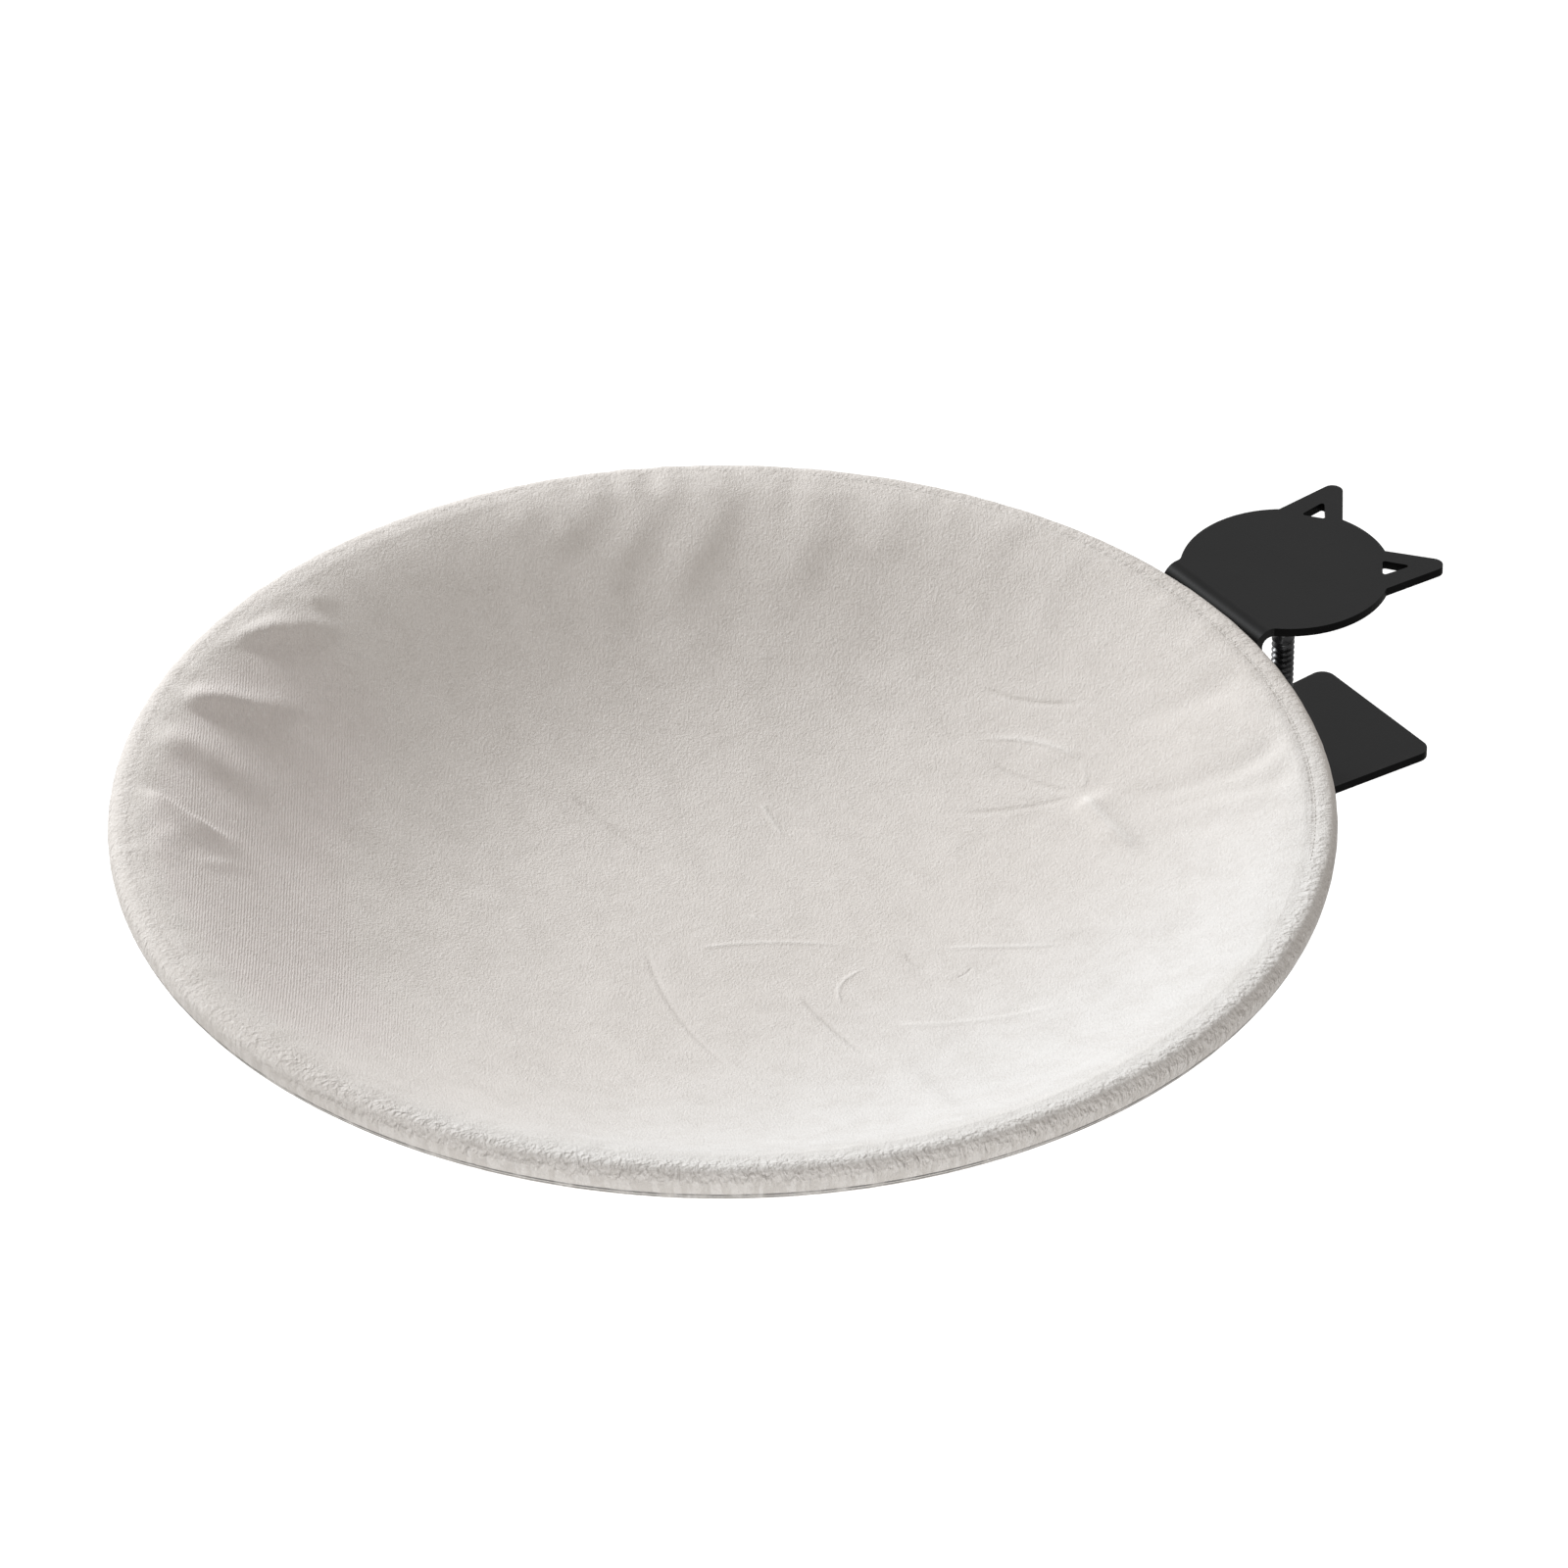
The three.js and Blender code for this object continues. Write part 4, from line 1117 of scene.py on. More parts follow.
# The star's main crest on the right, the pulls from the rim that end in it, and the floor's wider creases.
FLOOR_CREASES = (
    Fold(
        ((76.0, 0.668), (72.5, 0.665), (68.8, 0.67), (64.3, 0.684), (60.5, 0.705), (57.1, 0.726)),
        2.6, 7, 2.4, 0.2, 0.45, 0.4,
    ),
    Fold(((91.9, 0.666), (88.1, 0.686), (85.1, 0.698), (82.1, 0.706)), 0.5, 3, 2.4, 0.6, 0.25, 0.2),
    Fold(((66.0, 0.985), (65.2, 0.92), (68.5, 0.793), (75.1, 0.682)), -1.9, 6, 7, 0.12, 0.8, 0.5, 0.012),
    Fold(((59.5, 0.99), (61.5, 0.91), (64.4, 0.811), (68.2, 0.71)), -1.5, 5, 7, 0.12, 0.8, 0.5, 0.012),
    Fold(((54.9, 0.99), (58.6, 0.848), (62.0, 0.74)), -0.6, 5, 7, 0.2, 0.6, 0.3, 0.02),
    Fold(((76.5, 0.985), (80.0, 0.876), (86.2, 0.751)), -1.0, 6, 8, 0.15, 0.7, 0.4, 0.02),
    Fold(((358.0, 0.48), (353.3, 0.701), (349.2, 0.98)), 0.6, 4, 6, 0.3, 0.25),
    Fold(((37.1, 0.443), (40.1, 0.601), (38.1, 0.786), (37.9, 0.94)), -0.4, 5, 8, 0.2, 0.3),
    Fold(((225.5, 0.437), (234.6, 0.365), (254.1, 0.316)), 0.5, 6, 8, 0.3, 0.4),
    Fold(((239.7, 0.90), (241.6, 0.883), (240.3, 0.843), (240.1, 0.798)), 0.6, 3, 3, 0.3, 0.4),
)
FOLDS = (*LEFT_PLEATS, *BACK_STREAKS, *FLOOR_CREASES)


class Ripple(Enum):
    """Uneven waves round the hoop: the fewest cycles, one more than the most, and the seed of their draw."""

    RAYS = (20, 44, 11)
    SLOW = (50, 120, 5)
    GATHER = (120, 210, 3)
    FAST = (130, 230, 8)


def waves(angle: np.ndarray, ripple: Ripple, parts: int = 14, size: float = 4.5) -> np.ndarray:
    """Uneven waves round the hoop, about -1 to 1: a sum of cosines of whole numbers of cycles.

    Args:
        angle: Angles round the hoop.
        ripple: Which waves.
        parts: How many waves are summed.
        size: What their sum is divided by.

    Returns:
        Their height at each angle.
    """
    fewest, beyond, seed = ripple.value
    dice = np.random.default_rng(seed)
    cycles = dice.integers(fewest, beyond, parts)
    phase = dice.uniform(0, 2 * np.pi, parts)
    return np.cos(np.multiply.outer(angle, cycles) + phase).sum(-1) / size


@dataclass(frozen=True)
class BowlShape:
    """The sling's smooth outside: the bowl's section, and how loose the cloth is round the hoop.

    Angles are in degrees: those round the hoop from +X, and those round the bar from the outside, with 90 at its
    top. A pair is the start and the run of a climb. A loose spot is its angle, its spread and its share.
    """

    place: HoopPlace
    ply: float = 1.2 * MM
    bar_room: float = 0.5 * MM
    # The section, soft on the loose side and tight across from it.
    depth: float = 50 * MM
    crest_inset: float = 3 * MM
    curve_power: float = 2.75
    loose_power: float = 11.0
    taut_power: float = 60.0
    loose_side: float = 190.0
    loose_cosine: Pair = (-0.45, 1.1)
    loose_spots: tuple[tuple[float, float, float], ...] = ((212, 30, 1.0), (152, 30, 0.75), (65, 22, 0.3))
    least_loose: float = 0.12
    loose_share: Pair = (0.35, 0.45)
    # How far the sleeve stands off the bar.
    loose_puff: float = 0.6 * MM
    taut_puff: float = 1.8 * MM
    puff_angle: float = 45.0
    puff_spread: float = 30.0

    @property
    def outer(self) -> float:
        """Radius of the sleeve's outside round the bar's middle."""
        return self.place.bar + self.bar_room + self.ply

    @property
    def crest(self) -> float:
        """Radius at which the bowl levels out, just inside the bar's top."""
        return self.place.radius - self.crest_inset

    def tautness(self, angle: np.ndarray) -> np.ndarray:
        """How taut the cloth is at angles round the hoop: 0 on the loose side and 1 across from it."""
        return 1 - eased(climb(np.cos(angle - math.radians(self.loose_side)), *self.loose_cosine))

    def puff(self, wrap: np.ndarray, angle: np.ndarray) -> np.ndarray:
        """How far the pile and the slack of the sleeve stand off, a bell over the angle round the bar.

        Args:
            wrap: Angles round the bar in degrees, 90 at its top.
            angle: Angles round the hoop.

        Returns:
            The distance, an array of wrap angles by hoop angles.
        """
        amount = self.loose_puff + (self.taut_puff - self.loose_puff) * self.tautness(angle)
        return np.multiply.outer(bell(wrap - self.puff_angle, self.puff_spread), amount)

    def smooth_height(self, flat: np.ndarray) -> np.ndarray:
        """The bowl without folds, about the hoop's middle, at points of the flat bowl of radius 1.

        It is the crest's height less the depth times (1 - rise), where rise is (b s**a - a s**b) / (b - a) for the
        share s of the crest's radius and the powers a and b, so that the slope ends at the crest. b is low on the
        loose side, where the cloth rolls over softly, and high where it is taut. A little of the plain power s**a
        is blended in, so that the slope left at the crest meets the puffed top of the sleeve.

        Args:
            flat: The points, an array of any shape by two.

        Returns:
            The heights, an array of that shape.
        """
        s = np.clip(np.linalg.norm(flat, axis=-1), 0, 1)
        angle = np.arctan2(flat[..., 1], flat[..., 0])
        a, b = self.curve_power, self.loose_power + (self.taut_power - self.loose_power) * self.tautness(angle)
        plain = self.puff(np.array(90.0), angle) / self.crest_inset * self.crest / (self.depth * a)
        rise = (1 - plain) * (b * s**a - a * s**b) / (b - a) + plain * s**a
        return self.outer - self.depth * (1 - rise)

    def looseness(self, flat: np.ndarray) -> np.ndarray:
        """Where the cloth is loose, from 0 to 1: most at the left and back edge, a little elsewhere.

        It is the sum of bells round the hoop, times a climb from the bowl's middle to its edge.

        Args:
            flat: Points on the flat bowl of radius 1.

        Returns:
            The looseness at each of them.
        """
        angle = np.degrees(np.arctan2(flat[..., 1], flat[..., 0])) % 360
        spots = sum(
            most * bell((angle - middle + 180) % 360 - 180, spread) for middle, spread, most in self.loose_spots
        )
        around = np.clip(spots + self.least_loose, 0, 1)
        return around * climb(np.linalg.norm(flat, axis=-1), *self.loose_share)

    def points(self, flat: np.ndarray) -> np.ndarray:
        """The bowl without folds, from points of the flat bowl of radius 1, about the hoop's middle."""
        return np.concatenate([flat * self.crest, self.smooth_height(flat)[..., None]], axis=-1)

    def lifts(self, flat: np.ndarray, folds: Sequence[Fold]) -> np.ndarray:
        """Sum of the folds' lifts at points of the flat bowl of radius 1."""
        return sum(fold.lift(flat, self.crest) for fold in folds)


# How the cloth behaves as it settles, in the cloth simulation's own units.
CLOTH_SETTINGS = {
    "quality": 8,
    "mass": 0.12,
    "tension_stiffness": 40.0,
    "compression_stiffness": 40.0,
    "shear_stiffness": 20.0,
    "bending_stiffness": 6.0,
    "tension_damping": 10.0,
    "compression_damping": 10.0,
    "air_damping": 4.0,
    "pin_stiffness": 1.0,
}


@dataclass(frozen=True)
class Settling:
    """How the cloth hangs under its own weight, on a square grid that is carried to the round bowl."""

    bowl: BowlShape
    steps: int = 97
    frames: int = 36
    ray_height: float = 0.3 * MM
    ray_end: float = 0.06
    first_fold: float = 0.3
    most_shift: float = 2.5 * MM
    mean_rings: int = 32

    def square_to_disc(self, square: np.ndarray) -> np.ndarray:
        """Carries the square -1..1 to the disc of radius 1: x = a sqrt(1 - b*b/2), y = b sqrt(1 - a*a/2)."""
        a, b = square[..., 0], square[..., 1]
        return np.stack([a * np.sqrt(1 - b * b / 2), b * np.sqrt(1 - a * a / 2)], axis=-1)

    def disc_to_square(self, disc: np.ndarray) -> np.ndarray:
        """The way back: half the difference of sqrt(2 + x*x - y*y +- 2 sqrt(2) x), and the same for y.

        Args:
            disc: Points in the disc of radius 1.

        Returns:
            Their places in the square from -1 to 1.
        """
        x, y = disc[..., 0], disc[..., 1]
        sides = []
        for along, spread in ((x, 2 + x * x - y * y), (y, 2 - x * x + y * y)):
            step = 2 * math.sqrt(2) * along
            far, near = (np.sqrt(np.clip(value, 0, None)) for value in (spread + step, spread - step))
            sides.append(np.clip((far - near) / 2, -1, 1))
        return np.stack(sides, axis=-1)

    def settled_shift(self) -> np.ndarray:
        """Lets the cloth hang under its weight and says how far each point moved.

        The cloth starts as the smooth bowl with faint rays and folds, held all round its edge, and buckles softly
        along them as it settles. What moves a whole ring alike is taken off, since the bowl's depth is set, and no
        point moves more than the cap. Blender's cloth has no random part, so the result is the same each time.

        Returns:
            The shift of each point of the square grid, an array of steps by steps by three.
        """
        line = np.linspace(-1, 1, self.steps)
        square = np.stack(np.meshgrid(line, line, indexing="ij"), axis=-1)
        flat = self.square_to_disc(square)
        share = np.linalg.norm(flat, axis=-1)
        rays = waves(np.arctan2(flat[..., 1], flat[..., 0]), Ripple.RAYS) * climb(1 - share, 0, self.ray_end)
        start = self.bowl.points(flat)
        start[..., 2] += self.ray_height * self.bowl.looseness(flat) * rays
        start[..., 2] += self.first_fold * self.bowl.lifts(flat, (*LEFT_PLEATS, *BACK_STREAKS))
        hanging = self.hanging_cloth(start)
        for step in range(1, self.frames + 1):
            bpy.context.scene.frame_set(step)
        settled = hanging.evaluated_get(bpy.context.evaluated_depsgraph_get())
        after = np.empty(start.size)
        settled.data.vertices.foreach_get("co", after)
        bpy.data.objects.remove(hanging)
        bpy.context.scene.frame_set(1)
        return self.uneven_part(after.reshape(start.shape) - start, share)

    def hanging_cloth(self, start: np.ndarray) -> bpy.types.Object:
        """A cloth over a square grid of points, whose edge is held.

        Args:
            start: The points, an array of steps by steps by three.

        Returns:
            Its object, ready to be stepped.
        """
        hanging = put("cloth_hanging", grid_mesh("cloth_hanging", start, around=False))
        held = hanging.vertex_groups.new(name="held")
        edge = np.ones(start.shape[:2], bool)
        edge[1:-1, 1:-1] = False
        held.add(np.flatnonzero(edge).tolist(), 1.0, "REPLACE")
        cloth = hanging.modifiers.new("cloth", "CLOTH")
        for key, value in CLOTH_SETTINGS.items():
            setattr(cloth.settings, key, value)
        cloth.settings.vertex_group_mass = "held"
        cloth.collision_settings.use_collision = False
        cloth.point_cache.frame_start = 1
        cloth.point_cache.frame_end = self.frames
        return hanging

    def uneven_part(self, shift: np.ndarray, share: np.ndarray) -> np.ndarray:
        """A shift less its mean over each ring of the bowl, with its size capped.

        Args:
            shift: The shift of each point, an array of any shape by three.
            share: Their shares of the bowl's radius.

        Returns:
            What is left of the shift.
        """
        reach = share * self.mean_rings
        ring = np.round(reach).astype(int).ravel()
        count = np.bincount(ring)
        means = [np.bincount(ring, shift[..., k].ravel()) / count for k in range(3)]
        uneven = shift - np.stack([np.interp(reach, np.arange(len(count)), mean) for mean in means], axis=-1)
        size = np.linalg.norm(uneven, axis=-1, keepdims=True)
        return uneven * np.tanh(size / self.most_shift) * self.most_shift / np.maximum(size, 1e-9)

    def sampled(self, shift: np.ndarray, flat: np.ndarray) -> np.ndarray:
        """Reads the settled shift at any points of the flat bowl.

        A point's place on the square grid comes from the way back to the square. The value there is the cubic
        blend of the sixteen grid points round it, with Catmull-Rom weights along each axis.

        Args:
            shift: The shift on the square grid.
            flat: Points on the flat bowl of radius 1.

        Returns:
            The shift at those points.
        """
        n = len(shift)
        place = (self.disc_to_square(flat) + 1) / 2 * (n - 1)
        base = np.clip(place.astype(int), 0, n - 2)
        weights = spline_weights(place - base)
        near = [np.clip(base + k - 1, 0, n - 1) for k in range(4)]
        return sum(
            (weights[i][..., 0] * weights[j][..., 1])[..., None] * shift[near[i][..., 0], near[j][..., 1]]
            for i in range(4)
            for j in range(4)
        )


@dataclass
class SlingCloth:
    """The round plush sling: a bowl hung in the hoop, whose edge wraps round the bar as a sleeve.

    Angles among its sizes are in degrees, and a pair that isn't a span is the start and the run of a climb.
    """

    bowl: BowlShape
    settling: Settling
    # The hem, under the bowl.
    hem_angle: float = -135.0
    hem_radius: float = 190.0 * MM
    hem_gap: float = 0.3 * MM
    # The mesh.
    columns: int = 540
    gathering: float = 0.2
    bowl_rows: int = 66
    row_crowding: float = 0.75
    wrap_rows: int = 19
    hem_rows: int = 3
    hem_sewn: float = 0.45
    # The channel's seam, along the inside of the bar's top, and the puckers by it.
    seam_run: float = -0.8 * MM
    seam_width: float = 1.2 * MM
    seam_span: Pair = (42.0, 132.0)
    seam_end: float = 10.0
    seam_sink: float = 0.3 * MM
    pucker: float = 0.17 * MM
    pucker_share: Pair = (0.88, 0.1)
    pucker_fade: float = 9 * MM
    # The slot for the mounting plate.
    slot_room: float = 2 * MM
    slot_front: float = 0.3 * MM
    slot_lip: float = 1 * MM

    @property
    def flat(self) -> Pair:
        """The flat cut's size: on both sides out to the bar's top, and from there to the hem."""
        side = 2 * float(self.bowl.place.radius + self.runs()[-1])
        return side, side

    def angles(self) -> np.ndarray:
        """The columns' angles, closer on the loose side: u - g sin(u - side) for even steps u."""
        even = turns(self.columns)
        return even - self.gathering * np.sin(even - math.radians(self.bowl.loose_side))

    def folded_points(self, flat: np.ndarray, shift: Optional[np.ndarray]) -> np.ndarray:
        """The bowl with its folds.

        Args:
            flat: Points on the flat bowl of radius 1.
            shift: How far the settled cloth moved, if it was left to settle.

        Returns:
            The points about the hoop's middle.
        """
        points = self.bowl.points(flat)
        if shift is not None:
            points += self.settling.sampled(shift, flat)
        points[..., 2] += self.bowl.lifts(flat, FOLDS)
        return points

    def surface(self) -> tuple[np.ndarray, np.ndarray]:
        """The cloth's outside from the middle of the bowl to the hem.

        Returns:
            The points, rows by columns by three, and the flat cut's places in metres, rows by columns by two.
        """
        bowl = self.bowl
        angle = self.angles()
        ring = np.stack([np.cos(angle), np.sin(angle)], axis=-1)
        share = np.linspace(0, 1, self.bowl_rows + 1)[1:] ** self.row_crowding
        shift = self.settling.settled_shift()
        inside = self.folded_points(share[:, None, None] * ring, shift)
        shoulder = turned_points(np.array([[bowl.place.radius - bowl.crest_inset / 2, bowl.outer]]), angle)
        shoulder[..., 2] += bowl.puff(np.array([90.0]), angle) / 2
        under = self.folded_points(self.hem_radius / bowl.crest * ring, shift)[..., 2] - bowl.ply - self.hem_gap
        points = np.concatenate([inside, shoulder, self.sleeve(angle, under)])
        length = np.concatenate([bowl.crest * share, bowl.place.radius + self.runs()])
        self.press_seams(points, share, angle)
        return points + bowl.place.centre, length[:, None, None] * ring

    def sleeve(self, angle: np.ndarray, under: np.ndarray) -> np.ndarray:
        """The sleeve's section carried round the hoop, with its puff and with its hem raised to the bowl.

        Args:
            angle: The columns' angles.
            under: Height of the bowl's underside over the hem, at each angle.

        Returns:
            The points, rows by columns by three.
        """
        section = self.sleeve_section()
        points = turned_points(section, angle)
        wrap = np.linspace(90, self.hem_angle, self.wrap_rows + 1)
        turn = np.radians(wrap)[:, None]
        off = self.bowl.puff(wrap, angle)
        out, up = off * np.cos(turn), off * np.sin(turn)
        points[: len(wrap)] += np.stack([out * np.cos(angle), out * np.sin(angle), up], axis=-1)
        along = np.linspace(0, 1, self.hem_rows + 1)[1:, None]
        points[-self.hem_rows :, :, 2] += along * (under - section[-1, 1])
        return points

    def runs(self) -> np.ndarray:
        """How far along the cloth each row of the shoulder and the sleeve is from the bar's top."""
        steps = np.linalg.norm(np.diff(self.sleeve_section(), axis=0), axis=1)
        return np.concatenate([[-self.bowl.crest_inset / 2, 0.0], np.cumsum(steps)])

    def row_of_seam(self) -> float:
        """The row of the surface along which the channel is sewn, just inside the bar's top."""
        return self.bowl_rows + 1 + self.seam_run / (self.bowl.crest_inset / 2)

    def row_of_hem(self) -> float:
        """The row of the surface along which the hem is sewn, a little short of its middle."""
        return self.bowl_rows + 1 + self.wrap_rows + self.hem_sewn * self.hem_rows

    def sleeve_section(self) -> np.ndarray:
        """Radius and height of the sleeve's outside: round the bar from its top, then straight to the hem."""
        wrap = arc((self.bowl.place.radius, 0), self.bowl.outer, 90, self.hem_angle, self.wrap_rows)
        hem = np.array([self.hem_radius, 0.0])
        along = np.linspace(0, 1, self.hem_rows + 1)[1:, None]
        return np.concatenate([wrap, wrap[-1] + along * (hem - wrap[-1])])

    def seam_shows(self, angle: np.ndarray) -> np.ndarray:
        """Where the channel's seam shows through the pile, from 0 to 1: a window round the hoop with soft ends."""
        low, high, end = (math.radians(side) for side in (*self.seam_span, self.seam_end))
        return climb(angle, low, end) * climb(high - angle, 0, end)

    def press_seams(self, points: np.ndarray, share: np.ndarray, angle: np.ndarray) -> None:
        """Presses the channel's seam into the crest and puckers the cloth on both sides of it.

        Each is a move along the surface's normal: a narrow bell at the seam, uneven waves that fade into the bowl,
        and waves round the sleeve that fade towards its hem.

        Args:
            points: The surface's points, which are moved.
            share: The bowl rows' shares of its radius.
            angle: The columns' angles.
        """
        run = self.runs()
        down = np.gradient(points, axis=0)
        right = np.roll(points, -1, axis=1) - np.roll(points, 1, axis=1)
        normal = np.cross(down, right)
        normal /= np.linalg.norm(normal, axis=-1, keepdims=True)
        slow, fast, gather = (waves(angle, each) for each in (Ripple.SLOW, Ripple.FAST, Ripple.GATHER))
        near_rim = climb(share, *self.pucker_share) ** 2
        fade = np.exp(-np.abs(run) / self.pucker_fade)
        loose = self.bowl.looseness(np.stack([np.cos(angle), np.sin(angle)], axis=-1))
        strength = self.pucker * (0.7 + 0.8 * loose)
        in_bowl = strength * near_rim[:, None] * slow
        on_sleeve = strength * fade[:, None] * (0.8 * slow + 0.3 * fast)
        place = np.concatenate([(share - 1) * self.bowl.crest - self.bowl.crest_inset, run])
        seam = bell(place - self.seam_run, self.seam_width)[:, None] * self.seam_shows(angle % (2 * np.pi))
        move = np.concatenate([in_bowl, on_sleeve]) - self.seam_sink * seam * (0.8 + 0.2 * gather)
        points += move[..., None] * normal

    def slot_faces(self, mesh: bpy.types.Mesh) -> np.ndarray:
        """Which faces lie in the slot that lets the mounting plate through the sleeve.

        Args:
            mesh: The sling's mesh, still whole.

        Returns:
            The numbers of those faces.
        """
        low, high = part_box("hoop_mounting_tab")
        x, y, z = of_faces(mesh, "center").T
        inside = np.abs(x) < high[0] + self.slot_room
        return np.flatnonzero(inside & (y > low[1] - self.slot_front) & (z < high[2] + self.slot_lip))

    def build(self) -> tuple[bpy.types.Object, np.ndarray]:
        """The sling as one closed sheet, and its surface grid for the sewing.

        Returns:
            The piece, and the outside points as rows by columns by three.
        """
        points, cut = self.surface()
        middle = (*self.bowl.place.centre[:2], float(points[0, :, 2].mean()))
        mesh = grid_mesh("sling_cloth", points[:, ::-1], poles=(middle, None))
        cut_at = np.concatenate([cut[:, ::-1].reshape(-1, 2), [[0.0, 0.0]]])
        corner = np.empty(len(mesh.loops), int)
        mesh.loops.foreach_get("vertex_index", corner)
        mesh.uv_layers.new(name=CUT_MAP).data.foreach_set("uv", cut_at[corner].astype(np.float32).ravel())
        gone = self.slot_faces(mesh)
        shape = bmesh.new()
        shape.from_mesh(mesh)
        shape.faces.ensure_lookup_table()
        bmesh.ops.delete(shape, geom=[shape.faces[i] for i in gone], context="FACES")
        shape.to_mesh(mesh)
        shape.free()
        piece = new_piece(mesh, PLUSH, Body.FIXED, "fabric_sling")
        modify(piece, "ply", "SOLIDIFY", thickness=self.bowl.ply, offset=-1, use_even_offset=False)
        return piece, points


@dataclass
class StitchRow:
    """A row of machine stitches along one row of the cloth's surface."""

    name: str
    row: float
    span: Pair = (0.0, 360.0)
    stitch: float = 2.6 * MM
    gap: float = 0.9 * MM
    thickness: float = 0.5 * MM
    sunk: float = 0.35
    sides: int = 6

    def capsule(self) -> tuple[np.ndarray, list[np.ndarray]]:
        """One stitch along X with pointed, sunk ends: rings of radius t sqrt(1 - u*u) at u from end to end.

        Returns:
            Its points, and its faces as an array for each number of corners.
        """
        u = np.array([-0.92, -0.5, 0.0, 0.5, 0.92])
        width = self.thickness / 2 * np.sqrt(1 - u**2)
        sink = -self.sunk * self.thickness * u**2
        turn = turns(self.sides)
        x = np.repeat(u * self.stitch / 2, self.sides)
        y = np.multiply.outer(width, np.cos(turn)).ravel()
        z = (np.multiply.outer(width, np.sin(turn)) + sink[:, None]).ravel()
        rings = np.arange(len(u) * self.sides).reshape(len(u), self.sides)
        after = np.roll(rings, -1, axis=1)
        quads = np.stack([rings[1:], after[1:], after[:-1], rings[:-1]], axis=-1).reshape(-1, 4)
        return np.stack([x, y, z], axis=-1), [quads, rings[:1, ::-1], rings[-1:]]

    def places(self, points: np.ndarray) -> tuple[np.ndarray, np.ndarray]:
        """Where the stitches stand.

        Each stands at an even step along the row. Its X runs along the row, and its Z along the cross product of
        the direction across the rows and the row's own.

        Args:
            points: The cloth's outside points, rows by columns by three.

        Returns:
            Each stitch's origin, and its three axes.
        """
        low = int(self.row)
        next_row = points[min(low + 1, len(points) - 1)]
        across = next_row - points[low]
        line = points[low] * (1 - (self.row - low)) + next_row * (self.row - low)
        step = np.linalg.norm(np.roll(line, -1, axis=0) - line, axis=1)
        total = step.sum()
        count = int(total / (self.stitch + self.gap))
        at = (np.arange(count) + 0.5) * total / count
        place = np.interp(at, np.concatenate([[0], np.cumsum(step)]), np.arange(len(line) + 1))
        before = place.astype(int)
        after = (before + 1) % len(line)
        t = (place - before)[:, None]
        along = np.roll(line, -1, axis=0) - np.roll(line, 1, axis=0)
        origin, x_axis, over = (a[before] * (1 - t) + a[after] * t for a in (line, along, across))
        x_axis /= np.linalg.norm(x_axis, axis=1, keepdims=True)
        z_axis = np.cross(over, x_axis)
        z_axis /= np.linalg.norm(z_axis, axis=1, keepdims=True)
        axes = np.stack([x_axis, np.cross(z_axis, x_axis), z_axis], axis=1)
        middle = points.mean(axis=(0, 1))
        turn = np.degrees(np.arctan2(origin[:, 1] - middle[1], origin[:, 0] - middle[0])) % 360
        keep = (turn > self.span[0]) & (turn < self.span[1])
        return origin[keep], axes[keep]

    def build(self, points: np.ndarray) -> bpy.types.Object:
        """Lays the stitches on the cloth.

        Args:
            points: The cloth's outside points, rows by columns by three.

        Returns:
            The piece.
        """
        origin, axes = self.places(points)
        stitch, kinds = self.capsule()
        vertices = np.einsum("vk,nkc->nvc", stitch, axes) + origin[:, None]
        first = (np.arange(len(origin)) * len(stitch))[:, None, None]
        faces = [face for kind in kinds for face in (kind[None] + first).reshape(-1, kind.shape[1]).tolist()]
        mesh = bpy.data.meshes.new(self.name)
        mesh.from_pydata(vertices.reshape(-1, 3), [], faces)
        shade_smooth(mesh)
        return new_piece(mesh, THREAD, Body.FIXED)


# Clamp.


@dataclass
class Bracket:
    """The bent steel bracket, the plate under the hoop and the screws and nuts between them."""

    edge: float = 0.35 * MM
    small_edge: float = 0.22 * MM
    bolts: int = 4

    def build(self) -> list[bpy.types.Object]:
        """The pieces with their edges eased."""
        parts = [
            ("bent_bracket", "clamp_bracket", COAT, self.edge),
            ("mounting_plate", "hoop_mounting_tab", COAT, self.edge),
            ("welded_nut", "bracket_weld_nut", COAT, self.small_edge),
        ]
        for number in range(1, self.bolts + 1):
            parts.append((f"hoop_screw_{number}", f"mount_screw_{number}", BLACK_STEEL, self.small_edge))
            parts.append((f"hoop_nut_{number}", f"mount_nut_{number}", ZINC, self.small_edge))
        return [eased_copy(name, node, finish, Body.FIXED, ease) for name, node, finish, ease in parts]


@dataclass
class JawPad:
    """Round rubber pad under the cat head."""

    chamfer: float = 0.5 * MM

    def build(self) -> bpy.types.Object:
        """A disc with a rounded lower edge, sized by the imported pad."""
        low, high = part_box("top_jaw_pad")
        radius = high[0]
        profile = np.concatenate(
            [
                [[0, low[2]], [0.5 * radius, low[2]], [0.9 * radius, low[2]]],
                arc((radius - self.chamfer, low[2] + self.chamfer), self.chamfer, -90, 0, 5),
                [[radius, high[2]], [0.5 * radius, high[2]], [0, high[2]]],
            ]
        )
        return turned_piece("jaw_pad", profile, RUBBER, Body.FIXED, "top_jaw_pad", 128)


